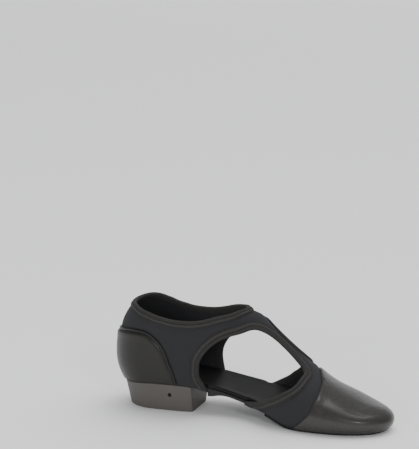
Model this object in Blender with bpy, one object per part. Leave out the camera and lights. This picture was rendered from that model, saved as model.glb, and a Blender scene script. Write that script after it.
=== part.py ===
"""A left jazz shoe: soft upper, toe cap, heel counter, bindings, insole, sole board, outsole and heel."""

import bpy
import numpy as np
from mathutils import Vector
from mathutils.geometry import delaunay_2d_cdt

# Driving sizes, in metres. A woman's shoe of about size 38.
LENGTH = 0.250            # rearmost point of the heel curve to the tip of the toe
BALL_WIDTH = 0.084        # widest place, across the joints of the foot
HEEL_HEIGHT = 0.024       # floor to the underside of the seat at the back of the arch
INSTEP_HEIGHT = 0.096     # floor to the ridge of the last where the leg comes out
WALL = 0.0021             # thickness of the padded cloth of the upper
LEATHER = 0.0012          # thickness of the toe cap and of the heel counter
BINDING = 0.0008          # thickness of the folded strip along each cut edge
BINDING_WIDTH = 0.0055    # how far a binding reaches in from its edge
COLLAR_BINDING = 0.0045   # the same at the collar
MARGIN = 0.010            # the part of the upper that is turned under the foot
BOARD = 0.0026            # thickness of the sole board
INSOLE = 0.0027           # thickness of the insole
OUTSOLE = 0.0018          # thickness of the forefoot outsole
GAP = 0.0003              # clearance between neighbouring pieces
BREAST_AT = 0.292         # front face of the heel block, as a share of the length
STEP_AT = 0.580           # back edge of the forefoot outsole, as a share of the length
PEAK = 0.20               # share of the way up the wall at which the shoe is widest
FAN = 0.70                # how much of the length the ridge keeps
LEAN_AT = 0.24            # share of the length over which the heel curve fades out
HEEL_ROUND = 0.030        # length of the rounding in plan at the back
TOE_ROUND = 0.052         # length of the rounding in plan at the toe
TOE_POWER = 2.7           # how full that rounding is
SPACING = 0.0068          # distance between the points of the upper
EDGE_SPACING = 0.0042     # distance between the points along its cut edges
BOARD_CLEAR = 0.0008      # between the turned margin and the board
BOARD_INSET = 0.0004      # board inside the sole edge in the arch
INSOLE_INSET = 0.0033     # insole inside the sole edge where the wall stands
ARCH_INSET = 0.0010       # insole inside the sole edge in the arch
OUTSOLE_PROUD = 0.0004    # outsole outside the sole edge
NAME = "jazz_shoe"

# Plan of the last. Along is a share of LENGTH, the rest are shares of BALL_WIDTH.
#        along  medial lateral ridge
PLAN = [(0.000, 0.315, 0.315, 0.000),
        (0.120, 0.339, 0.345, 0.000),
        (0.240, 0.327, 0.351, 0.000),
        (0.400, 0.321, 0.381, -0.002),
        (0.540, 0.381, 0.452, 0.000),
        (0.632, 0.452, 0.494, 0.004),
        (0.720, 0.494, 0.494, -0.030),
        (0.820, 0.488, 0.435, -0.084),
        (1.000, 0.429, 0.238, -0.119)]

# Height of the ridge over the floor, as a share of INSTEP_HEIGHT. Behind the throat it is open.
#       along  height
TOP = [(0.000, 1.800),
       (0.160, 1.680),
       (0.300, 1.400),
       (0.400, 1.150),
       (0.480, 0.936),
       (0.512, 0.896),
       (0.547, 0.819),
       (0.619, 0.661),
       (0.691, 0.491),
       (0.762, 0.352),
       (0.834, 0.274),
       (0.905, 0.210),
       (0.950, 0.203),
       (1.000, 0.202)]

# Underside of the sole board, as a share of HEEL_HEIGHT. It is never lower than the outsole lets it be.
#        along  height
SEAT = [(0.000, 0.833),
        (0.060, 0.896),
        (0.140, 0.975),
        (0.220, 0.992),
        (0.280, 0.967),
        (0.340, 0.888),
        (0.420, 0.733),
        (0.500, 0.560),
        (0.552, 0.444),
        (0.588, 0.352),
        (0.620, 0.232),
        (0.652, 0.130),
        (0.690, 0.085),
        (0.760, 0.083),
        (0.850, 0.084),
        (0.900, 0.094),
        (0.948, 0.105),
        (1.000, 0.140)]

# Wedge under the board in front of the heel. Along is a share of LENGTH, drop of HEEL_HEIGHT.
#         along  drop
WEDGE = [(0.314, 0.000),
         (0.340, 0.195),
         (0.358, 0.195),
         (0.372, 0.165),
         (0.384, 0.120),
         (0.396, 0.070),
         (0.412, 0.025),
         (0.432, 0.000)]

# Wall of the last. Wide is the height of the widest level over the seat, as a share of HEEL_HEIGHT.
# Foot columns are the width at the sole edge as shares of the widest, turn is the roll of the wall
# under the foot in degrees, square columns are how square the arch over the foot is on each side.
#        along  wide   foot_m foot_l turn  square_m square_l
WALLS = [(0.000, 0.958, 0.930, 0.930, 45.0, 2.20, 2.20),
         (0.120, 0.875, 0.930, 0.930, 45.0, 2.20, 2.20),
         (0.240, 0.833, 0.900, 0.920, 55.0, 2.10, 2.10),
         (0.400, 1.167, 0.760, 0.900, 65.0, 2.00, 1.95),
         (0.540, 0.917, 0.800, 0.890, 72.0, 2.05, 1.85),
         (0.632, 0.583, 0.870, 0.890, 80.0, 2.10, 1.80),
         (0.720, 0.479, 0.900, 0.900, 82.0, 2.20, 1.80),
         (0.860, 0.417, 0.880, 0.880, 82.0, 2.30, 1.90),
         (1.000, 0.270, 0.860, 0.860, 82.0, 2.30, 2.30)]

# Lean of the back of the heel. Height is a share of INSTEP_HEIGHT, inset a share of LENGTH.
#       height  inset
BACK = [(0.000, 0.0524),
        (0.083, 0.0384),
        (0.188, 0.0252),
        (0.281, 0.0112),
        (0.375, 0.0024),
        (0.479, 0.0000),
        (0.594, 0.0044),
        (0.771, 0.0232),
        (0.927, 0.0548),
        (1.250, 0.1320)]


def smooth_curve(table, column):
    """Return a smooth curve through one column of a table, over the first column."""
    x = np.array([row[0] for row in table], float)
    y = np.array([row[column] for row in table], float)
    step = np.diff(x)
    count = len(x)
    matrix = np.eye(count)
    right_side = np.zeros(count)
    for i in range(1, count - 1):
        matrix[i, i - 1:i + 2] = step[i - 1], 2 * (step[i - 1] + step[i]), step[i]
        right_side[i] = 6 * ((y[i + 1] - y[i]) / step[i] - (y[i] - y[i - 1]) / step[i - 1])
    bend = np.linalg.solve(matrix, right_side)

    def at(s):
        s = np.clip(s, x[0], x[-1])
        i = np.clip(np.searchsorted(x, s) - 1, 0, count - 2)
        left, right = s - x[i], x[i + 1] - s
        return ((bend[i] * right**3 + bend[i + 1] * left**3) / (6 * step[i])
                + (y[i] / step[i] - bend[i] * step[i] / 6) * right
                + (y[i + 1] / step[i] - bend[i + 1] * step[i] / 6) * left)
    return at


medial_curve, lateral_curve, ridge_curve = (smooth_curve(PLAN, k) for k in (1, 2, 3))
top_curve, seat_curve, back_curve = (smooth_curve(table, 1) for table in (TOP, SEAT, BACK))
wide_curve, foot_m_curve, foot_l_curve, turn_curve, square_m_curve, square_l_curve = (
    smooth_curve(WALLS, k) for k in (1, 2, 3, 4, 5, 6))


def seat_height(x):
    """Underside of the board over the floor, exactly flat where the ball of the foot rests."""
    return np.maximum(seat_curve(x / LENGTH) * HEEL_HEIGHT, OUTSOLE + GAP)


def board_underside(x):
    """Lower face of the sole board: the seat, and the wedge that fills the corner at the heel."""
    along, drop = zip(*WEDGE)
    return seat_height(x) - np.interp(x / LENGTH, along, drop) * HEEL_HEIGHT


def heel_lean(x, z):
    """How far forward the heel curve moves a point at a height."""
    share = np.clip(1 - x / (LENGTH * LEAN_AT), 0, 1)**1.5
    return back_curve(np.clip(z / INSTEP_HEIGHT, 0, 1.25)) * LENGTH * share


def rounding(x):
    """Share of the half width that the plan keeps near its two ends."""
    heel = np.clip((HEEL_ROUND - x) / HEEL_ROUND, 0, 1)
    toe = np.clip((x - (LENGTH - TOE_ROUND)) / TOE_ROUND, 0, 1)
    return np.sqrt(np.clip(1 - heel**2, 0, 1)) * np.sqrt(np.clip(1 - toe**TOE_POWER, 0, 1))


def skin(loop, up):
    """Point on the outside of the upper.

    Loop runs from 0 at the back of the heel to -1 at the toe on the medial side, or +1 on the
    lateral side. Up runs from 0 at the sole edge to 1 on the ridge, and below 0 it is turned
    under the foot, one unit being one metre.
    """
    loop, up = np.broadcast_arrays(np.asarray(loop, float), np.asarray(up, float))
    share = (1 - np.cos(np.pi * np.abs(loop))) / 2
    out_x = LENGTH * share
    out_ridge = ridge_curve(share) * BALL_WIDTH
    edge = np.where(loop < 0, -medial_curve(share), lateral_curve(share)) * BALL_WIDTH
    out_y = out_ridge + (edge - out_ridge) * rounding(out_x)
    in_x = LENGTH / 2 + FAN * (out_x - LENGTH / 2)
    in_y = ridge_curve(in_x / LENGTH) * BALL_WIDTH
    turn = np.radians(turn_curve(share))
    angle = turn * (1 - np.clip(up / PEAK, 0, 1))
    foot = np.where(loop < 0, foot_m_curve(share), foot_l_curve(share))
    low_reach = 1 - (1 - foot) * (1 - np.cos(angle)) / (1 - np.cos(turn))
    quarter = np.clip((up - PEAK) / (1 - PEAK), 0, 1) * np.pi / 2
    power = np.where(loop < 0, square_m_curve(share), square_l_curve(share))
    across, rise = np.clip(np.cos(quarter), 0, 1), np.sin(quarter)
    radius = (across**power + rise**power)**(-1 / power)
    span = np.hypot(out_x - in_x, out_y - in_y)
    reach = np.where(up < PEAK, low_reach, radius * across) + np.minimum(up, 0) / span
    x = in_x + (out_x - in_x) * reach
    y = in_y + (out_y - in_y) * reach
    low = seat_height(x + heel_lean(x, seat_height(x)))
    wide = low + wide_curve(x / LENGTH) * HEEL_HEIGHT
    z_low = wide - (wide - low) * np.sin(angle) / np.sin(turn)
    z_high = wide + (top_curve(x / LENGTH) * INSTEP_HEIGHT - wide) * radius * rise
    z = np.where(up < PEAK, z_low, z_high)
    return np.stack([x + heel_lean(x, z), y, z], -1)


# Cut lines of the upper. Station is the share of LENGTH at the foot of the wall, up is as in skin.
#          station  up
COLLAR = [(0.000, 0.383),
          (0.020, 0.386),
          (0.055, 0.385),
          (0.086, 0.380),
          (0.113, 0.376),
          (0.139, 0.374),
          (0.167, 0.372),
          (0.192, 0.374),
          (0.216, 0.376),
          (0.245, 0.381),
          (0.274, 0.390),
          (0.304, 0.404),
          (0.332, 0.427),
          (0.361, 0.466),
          (0.386, 0.519),
          (0.411, 0.592),
          (0.434, 0.694),
          (0.448, 0.790),
          (0.459, 0.890),
          (0.466, 1.000)]
# The opening of each side, from the back of the arch up, over and down to the front of the arch.
#                  station  up
OPENING_MEDIAL = [(0.340, 0.000),
                  (0.337, 0.040),
                  (0.329, 0.080),
                  (0.325, 0.120),
                  (0.326, 0.163),
                  (0.329, 0.200),
                  (0.341, 0.242),
                  (0.362, 0.292),
                  (0.385, 0.343),
                  (0.406, 0.395),
                  (0.428, 0.454),
                  (0.447, 0.512),
                  (0.467, 0.575),
                  (0.486, 0.638),
                  (0.506, 0.700),
                  (0.528, 0.766),
                  (0.553, 0.832),
                  (0.580, 0.885),
                  (0.611, 0.915),
                  (0.648, 0.926),
                  (0.690, 0.929),
                  (0.724, 0.926),
                  (0.746, 0.915),
                  (0.758, 0.888),
                  (0.757, 0.845),
                  (0.745, 0.780),
                  (0.719, 0.636),
                  (0.690, 0.506),
                  (0.660, 0.400),
                  (0.635, 0.312),
                  (0.611, 0.228),
                  (0.583, 0.149),
                  (0.556, 0.092),
                  (0.528, 0.046),
                  (0.500, 0.000)]
#                   station  up
OPENING_LATERAL = [(0.340, 0.000),
                   (0.338, 0.050),
                   (0.334, 0.095),
                   (0.331, 0.134),
                   (0.331, 0.164),
                   (0.335, 0.196),
                   (0.356, 0.260),
                   (0.372, 0.298),
                   (0.391, 0.344),
                   (0.415, 0.410),
                   (0.440, 0.490),
                   (0.467, 0.584),
                   (0.495, 0.665),
                   (0.530, 0.752),
                   (0.567, 0.834),
                   (0.608, 0.881),
                   (0.647, 0.893),
                   (0.671, 0.876),
                   (0.686, 0.832),
                   (0.690, 0.767),
                   (0.686, 0.697),
                   (0.672, 0.614),
                   (0.650, 0.515),
                   (0.631, 0.400),
                   (0.608, 0.280),
                   (0.580, 0.171),
                   (0.549, 0.100),
                   (0.523, 0.046),
                   (0.500, 0.000)]
# The seam of the toe cap runs further back on the lateral side, as the joints of the foot do.
#                   station  up
CAP_SEAM_MEDIAL = [(0.850, 1.000),
                   (0.845, 0.965),
                   (0.829, 0.874),
                   (0.806, 0.743),
                   (0.785, 0.602),
                   (0.768, 0.475),
                   (0.755, 0.343),
                   (0.738, 0.218),
                   (0.720, 0.147),
                   (0.702, 0.080),
                   (0.688, 0.022),
                   (0.682, 0.000)]
#                    station  up
CAP_SEAM_LATERAL = [(0.850, 1.000),
                    (0.838, 0.980),
                    (0.813, 0.925),
                    (0.764, 0.792),
                    (0.728, 0.670),
                    (0.700, 0.534),
                    (0.688, 0.430),
                    (0.678, 0.330),
                    (0.663, 0.215),
                    (0.649, 0.122),
                    (0.635, 0.037),
                    (0.629, 0.000)]
#                station  up
COUNTER_EDGE = [(0.000, 0.285),
                (0.029, 0.297),
                (0.060, 0.305),
                (0.088, 0.309),
                (0.122, 0.310),
                (0.148, 0.307),
                (0.168, 0.297),
                (0.189, 0.281),
                (0.204, 0.263),
                (0.218, 0.235),
                (0.235, 0.168),
                (0.245, 0.080),
                (0.248, 0.000)]
STRAP_MIDDLE = 0.992      # up share that no binding crosses on the strap
CAP_FOOT = 0.045          # up share at which the toe cap ends over the outsole
COUNTER_FOOT = 0.020      # up share at which the counter and the bindings end over the sole
BAND_BACK = 0.0156        # up share that the collar binding covers at the back of the heel
BAND_THROAT = 0.0184      # station share that it covers on the ridge at the throat


def loop_of(station):
    """Loop value, without its sign, of a station along the foot of the wall."""
    return np.arccos(1 - 2 * np.clip(np.asarray(station, float), 0, 1)) / np.pi


class Pattern:
    """Flat pattern of one half of the upper, in metres, with the way there and back."""

    def __init__(self, side):
        self.side = side
        self.loops = np.linspace(0, 1, 201)
        self.ups = np.linspace(0, 1, 161)
        grid = skin(side * self.loops[:, None], self.ups[None, :])
        steps = np.linalg.norm(np.diff(grid, axis=1), axis=2)
        self.rise = np.concatenate([np.zeros((201, 1)), np.cumsum(steps, axis=1)], axis=1)
        widest = skin(side * self.loops, PEAK)
        along = np.linalg.norm(np.diff(widest, axis=0), axis=1)
        self.along = np.concatenate([[0.0], np.cumsum(along)])

    def flat(self, loops, ups):
        loops, ups = np.atleast_1d(loops), np.atleast_1d(ups)
        place = np.clip(loops, 0, 1) * 200
        low = np.clip(place.astype(int), 0, 199)
        part = place - low
        height = []
        for k in range(len(loops)):
            row = self.rise[low[k]] * (1 - part[k]) + self.rise[low[k] + 1] * part[k]
            height.append(np.interp(ups[k], self.ups, row) if ups[k] > 0 else ups[k])
        return np.stack([np.interp(loops, self.loops, self.along), height], -1)

    def back(self, flat):
        loops = np.interp(flat[:, 0], self.along, self.loops)
        place = loops * 200
        low = np.clip(place.astype(int), 0, 199)
        part = place - low
        ups = []
        for k in range(len(loops)):
            row = self.rise[low[k]] * (1 - part[k]) + self.rise[low[k] + 1] * part[k]
            height = flat[k, 1]
            ups.append(np.interp(height, row, self.ups) if height > 0 else height)
        return np.stack([loops, np.array(ups)], -1)

    def solid(self, pairs):
        pairs = np.asarray(pairs, float)
        return skin(self.side * pairs[:, 0], pairs[:, 1])

    def line(self, rows, step):
        """Points of loop and up along a smooth line through table rows, about one step apart."""
        pairs = np.array([(loop_of(row[0]), row[1]) for row in rows], float)
        gaps = np.linalg.norm(np.diff(self.solid(pairs), axis=0), axis=1)
        knots = np.concatenate([[0.0], np.cumsum(gaps)])
        table = [(knot, pair[0], pair[1]) for knot, pair in zip(knots, pairs)]
        t = np.linspace(0, knots[-1], 500)
        fine = np.stack([smooth_curve(table, 1)(t), smooth_curve(table, 2)(t)], -1)
        fine[:, 0] = np.clip(fine[:, 0], 0, 1)
        fine[:, 1] = np.clip(fine[:, 1], 0, 1)
        return self.even(fine, step)

    def even(self, pairs, step):
        """Spread points evenly along a line of loop and up."""
        pairs = np.asarray(pairs, float)
        gaps = np.linalg.norm(np.diff(self.solid(pairs), axis=0), axis=1)
        run = np.concatenate([[0.0], np.cumsum(gaps)])
        t = np.linspace(0, run[-1], max(int(round(run[-1] / step)), 1) + 1)
        return np.stack([np.interp(t, run, pairs[:, 0]), np.interp(t, run, pairs[:, 1])], -1)

    def straight(self, first, last, step):
        t = np.linspace(0, 1, 200)[:, None]
        return self.even(np.array(first) * (1 - t) + np.array(last) * t, step)

    def beside(self, pairs, width):
        """The line that runs beside another, to its left, at a width on the curved skin."""
        flat = self.flat(pairs[:, 0], pairs[:, 1])
        tangent = np.gradient(flat, axis=0)
        tangent /= np.linalg.norm(tangent, axis=1)[:, None]
        left = np.stack([-tangent[:, 1], tangent[:, 0]], -1)
        start = self.solid(pairs)
        reach = np.full(len(pairs), width)
        for _ in range(3):
            moved = self.back(flat + left * reach[:, None])
            got = np.linalg.norm(self.solid(moved) - start, axis=1)
            reach *= np.clip(abs(width) / np.maximum(got, 1e-5), 0.6, 1.8)
        return self.back(flat + left * reach[:, None])


def inside(points, outline):
    """True for each flat point that lies inside a closed outline."""
    x, y = points[:, 0], points[:, 1]
    found = np.zeros(len(points), bool)
    for (x1, y1), (x2, y2) in zip(outline, np.roll(outline, -1, axis=0)):
        crosses = (y1 > y) != (y2 > y)
        if y1 != y2:
            found ^= crosses & (x < (x2 - x1) * (y - y1) / (y2 - y1) + x1)
    return found


def half_upper(side):
    """Cut one half of the upper in the flat. Returns points, triangles and a region name for each."""
    pattern = Pattern(side)
    fine, coarse = EDGE_SPACING, SPACING
    collar = pattern.line(COLLAR, fine)
    opening = pattern.line(OPENING_LATERAL if side > 0 else OPENING_MEDIAL, fine)
    cap_seam = pattern.line(CAP_SEAM_LATERAL if side > 0 else CAP_SEAM_MEDIAL, coarse * 0.8)
    counter = pattern.line(COUNTER_EDGE, coarse * 0.8)
    collar_in = pattern.beside(collar, -COLLAR_BINDING)
    opening_in = pattern.beside(opening, BINDING_WIDTH)
    opening_in[:, 1] = np.minimum(opening_in[:, 1], STRAP_MIDDLE)
    rear, front = opening[0, 0], opening[-1, 0]
    throat = collar[-1, 0]
    collar_in[0] = (0.0, COLLAR[0][1] - BAND_BACK)
    collar_in[-1] = (loop_of(COLLAR[-1][0] + BAND_THROAT), 1.0)
    opening_in = np.vstack([[opening_in[0, 0], -GAP], opening_in, [opening_in[-1, 0] + 0.004, -GAP]])
    outline = [pattern.straight((0, -MARGIN), (0, 0), coarse),
               pattern.straight((0, 0), (0, collar[0, 1]), coarse),
               collar,
               pattern.straight((throat, 1), collar_in[-1], coarse),
               pattern.straight(collar_in[-1], (cap_seam[0, 0], 1), coarse),
               pattern.straight((cap_seam[0, 0], 1), (1, 1), coarse),
               pattern.straight((1, 1), (1, 0), coarse),
               pattern.straight((1, 0), (1, -MARGIN), coarse),
               pattern.straight((1, -MARGIN), (front, -MARGIN), coarse),
               pattern.straight((front, -MARGIN), (front, 0), coarse),
               opening[::-1],
               pattern.straight((rear, 0), (rear, -MARGIN), coarse),
               pattern.straight((rear, -MARGIN), (0, -MARGIN), coarse)]
    border = np.vstack([part[:-1] for part in outline])
    lines = [cap_seam, counter, collar_in, opening_in,
             pattern.straight((0, 0), (rear, 0), coarse),
             pattern.straight((front, 0), (1, 0), coarse),
             pattern.straight((0, COUNTER_FOOT), (rear, COUNTER_FOOT), coarse),
             pattern.straight((front, COUNTER_FOOT), (1, COUNTER_FOOT), coarse),
             pattern.straight((cap_seam[-1, 0] - 0.02, CAP_FOOT), (1, CAP_FOOT), coarse)]
    pairs = [border] + lines
    edges, start = [], len(border)
    for line in lines:
        edges += [(start + k, start + k + 1) for k in range(len(line) - 1)]
        start += len(line)
    pairs = np.vstack(pairs)
    kept = list(pattern.solid(pairs))
    flat_border = pattern.flat(border[:, 0], border[:, 1])
    low, high = flat_border.min(axis=0), flat_border.max(axis=0)
    step = coarse * 0.45
    grid = np.array([(x, y) for x in np.arange(low[0], high[0], step)
                     for y in np.arange(low[1], high[1], step)])
    grid = grid[inside(grid, flat_border)]
    grid_pairs = pattern.back(grid)
    grid_solid = pattern.solid(grid_pairs)
    nodes = np.array(kept)
    extra = []
    for pair, point in zip(grid_pairs, grid_solid):
        if np.min(np.linalg.norm(nodes - point, axis=1)) > coarse * 0.82:
            nodes = np.vstack([nodes, point])
            extra.append(pair)
    if extra:
        pairs = np.vstack([pairs, np.array(extra)])
    flat = pattern.flat(pairs[:, 0], pairs[:, 1])
    points = [Vector((float(x), float(y))) for x, y in flat]
    ring = list(range(len(border)))
    edges += [(k, (k + 1) % len(border)) for k in ring]
    out = delaunay_2d_cdt(points, edges, [], 0, 1e-6)
    flat_out = np.array([(v.x, v.y) for v in out[0]])
    pairs_out = pattern.back(flat_out)
    for k, origin in enumerate(out[3]):
        if origin:
            pairs_out[k] = pairs[origin[0]]
    triangles = np.array([f for f in out[2] if len(f) == 3])
    middles = flat_out[triangles].mean(axis=1)
    keep = inside(middles, flat_border)
    triangles, middles = triangles[keep], middles[keep]

    def ring_of(*parts):
        whole = np.vstack(parts)
        return pattern.flat(whole[:, 0], whole[:, 1])
    middle_up = pattern.back(middles)[:, 1]
    regions = np.full(len(triangles), "cloth", dtype=object)
    cap_ring = ring_of(cap_seam[::-1], pattern.straight((cap_seam[0, 0], 1), (1, 1), coarse),
                       pattern.straight((1, 1), (1, 0), coarse), [[cap_seam[-1, 0], 0.0]])
    counter_ring = ring_of(pattern.straight((0, 0), (0, counter[0, 1]), coarse), counter)
    collar_ring = ring_of(collar, pattern.straight((throat, 1), collar_in[-1], coarse), collar_in[::-1])
    opening_ring = ring_of(opening, opening_in[::-1])
    regions[inside(middles, cap_ring) & (middle_up > CAP_FOOT)] = "toe_cap"
    regions[inside(middles, counter_ring) & (middle_up > COUNTER_FOOT)] = "heel_counter"
    regions[inside(middles, opening_ring) & (middle_up > COUNTER_FOOT)] = (
        "binding_lateral" if side > 0 else "binding_medial")
    regions[inside(middles, collar_ring)] = "binding_collar"
    solid = pattern.solid(pairs_out)
    if side > 0:
        triangles = triangles[:, ::-1]
    return solid, triangles, regions


def weld(parts):
    """Join point sets and merge the points that fall on one another.

    A triangle that both halves have lies flat on a centre line, and is left out of both.
    """
    points, triangles, regions = np.zeros((0, 3)), [], []
    for solid, tris, names in parts:
        index = []
        older = len(points)
        for point in solid:
            apart = np.abs(points[:older] - point).sum(axis=1)
            if older and apart.min() < GAP / 50:
                index.append(int(apart.argmin()))
            else:
                index.append(len(points))
                points = np.vstack([points, point])
        for tri, name in zip(tris, names):
            a, b, c = (index[k] for k in tri)
            if len({a, b, c}) == 3:
                triangles.append((a, b, c))
                regions.append(name)
    seen = [tuple(sorted(tri)) for tri in triangles]
    kept = [k for k, key in enumerate(seen) if seen.count(key) == 1]
    return points, np.array(triangles)[kept], np.array(regions, dtype=object)[kept]


def offset_directions(points, triangles):
    """Outward direction for each point, longer at a fold so that the wall keeps its thickness."""
    corners = points[triangles]
    face = np.cross(corners[:, 1] - corners[:, 0], corners[:, 2] - corners[:, 0])
    total = np.zeros_like(points)
    for k in range(3):
        np.add.at(total, triangles[:, k], face)
    total /= np.maximum(np.linalg.norm(total, axis=1), 1e-12)[:, None]
    face /= np.maximum(np.linalg.norm(face, axis=1), 1e-15)[:, None]
    least = np.ones(len(points))
    for k in range(3):
        np.minimum.at(least, triangles[:, k], (total[triangles[:, k]] * face).sum(axis=1))
    return total / np.clip(least, 0.75, 1.0)[:, None]


def thicken(points, triangles, directions, low, high):
    """Closed solid between two offsets of a sheet."""
    used = np.unique(triangles)
    index = {old: new for new, old in enumerate(used)}
    tris = [tuple(index[k] for k in tri) for tri in triangles]
    base, way = points[used], directions[used]
    count = len(used)
    verts = np.vstack([base + way * high, base + way * low])
    faces = list(tris) + [(c + count, b + count, a + count) for a, b, c in tris]
    edges = {}
    for a, b, c in tris:
        for pair in ((a, b), (b, c), (c, a)):
            edges[pair] = True
    for a, b in edges:
        if (b, a) not in edges:
            faces.append((b, a, a + count))
            faces.append((b, a + count, b + count))
    return verts, faces


def ladder(rungs_low, rungs_high, low_z, high_z):
    """Plate between two borders. Each rung has a medial and a lateral point, with z from functions."""
    verts, faces = [], []
    for (ax, ay), (bx, by) in zip(rungs_low, rungs_high):
        verts += [(ax, ay, low_z(ax)), (bx, by, low_z(bx)), (ax, ay, high_z(ax)), (bx, by, high_z(bx))]
    for k in range(len(rungs_low) - 1):
        a, b = 4 * k, 4 * k + 4
        faces += [(a, a + 1, b + 1, b), (a + 2, b + 2, b + 3, a + 3),
                  (a, b, b + 2, a + 2), (a + 1, a + 3, b + 3, b + 1)]
    last = 4 * (len(rungs_low) - 1)
    faces += [(0, 2, 3, 1), (last, last + 1, last + 3, last + 2)]
    return np.array(verts), faces


def border_rungs(stations, inset):
    """Medial and lateral border points of the sole at stations, drawn in by a function."""
    medial, lateral = [], []
    for station in stations:
        loop = float(loop_of(station))
        for side, out in ((-1, medial), (1, lateral)):
            foot = skin(side * loop, 0.0)
            inner = skin(side * loop, -MARGIN)
            way = (inner - foot)[:2] / np.linalg.norm((inner - foot)[:2])
            point = foot[:2] + way * inset(station)
            out.append((float(point[0]), float(point[1])))
    return medial, lateral


def make_object(name, verts, faces, group, colour, roughness):
    """Add one closed solid with its own material, standing on the heel rest as the origin."""
    mesh = bpy.data.meshes.new(name)
    shift = np.array([HEEL_CENTRE, 0.0, 0.0])
    mesh.from_pydata([tuple(map(float, v)) for v in np.asarray(verts) - shift], [],
                     [tuple(int(k) for k in face) for face in faces])
    mesh.validate()
    mesh.update()
    thing = bpy.data.objects.new(name, mesh)
    group.objects.link(thing)
    material = bpy.data.materials.new(name + "_material")
    material.use_nodes = True
    shader = material.node_tree.nodes["Principled BSDF"]
    shader.inputs["Base Color"].default_value = (*colour, 1.0)
    shader.inputs["Roughness"].default_value = roughness
    mesh.materials.append(material)
    return thing


HEEL_CENTRE = 0.0447      # middle of the heel's ground contact, from the rearmost point
HEEL_BACK = 0.0137        # where the ground contact starts
HEEL_FRONT = 0.0757       # where it ends, at the breast
HEEL_TAPER = 0.72         # width on the ground as a share of the width under the seat
HEEL_SHIFT = 0.0045       # how far the ground contact stands to the medial side


def heel_block():
    """Heel block: the seat outline at its top, a smaller outline with the same curve on the floor."""
    loops = np.concatenate([np.linspace(0, 1, 15)[1:] ** 1.15])
    breast = float(loop_of(BREAST_AT))
    medial = [skin(-loop * breast, 0.0) for loop in loops]
    lateral = [skin(loop * breast, 0.0) for loop in loops]
    front = float(medial[-1][0])
    back = float(skin(0.0, 0.0)[0])
    tip = np.array([back, 0.0, 0.0])

    def levels(point):
        x, y = point[0], point[1]
        along = (x - back) / (front - back)
        ground_x = HEEL_BACK + (HEEL_FRONT - HEEL_BACK) * along
        corner = 1.0 - 0.10 * np.clip((along - 0.90) / 0.10, 0, 1) ** 2
        ground = np.array([ground_x, y * HEEL_TAPER * corner - HEEL_SHIFT, 0.0])
        top = np.array([x, y, float(seat_height(x)) - GAP])
        return [ground + (top - ground) * t for t in (0.0, 0.5, 1.0)]
    verts, faces = [], []
    ring = [levels(p) for p in medial[::-1]] + [levels(tip)] + [levels(p) for p in lateral]
    size = len(ring)
    for level in range(3):
        verts += [ring[k][level] for k in range(size)]
    for level in range(2):
        for k in range(size):
            a, b = level * size + k, level * size + (k + 1) % size
            faces += [(a, a + size, b), (b, a + size, b + size)]
    middle = size // 2
    for k in range(middle):
        left, right = k, size - 1 - k
        for level, turn in ((0, 1), (2, -1)):
            a, b = level * size + left, level * size + left + 1
            c, d = level * size + right - 1, level * size + right
            if k < middle - 1:
                quads = [(a, b, d), (b, c, d)]
            else:
                quads = [(a, b, d)]
            faces += [q if turn > 0 else q[::-1] for q in quads]
    return np.array(verts), faces


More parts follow.
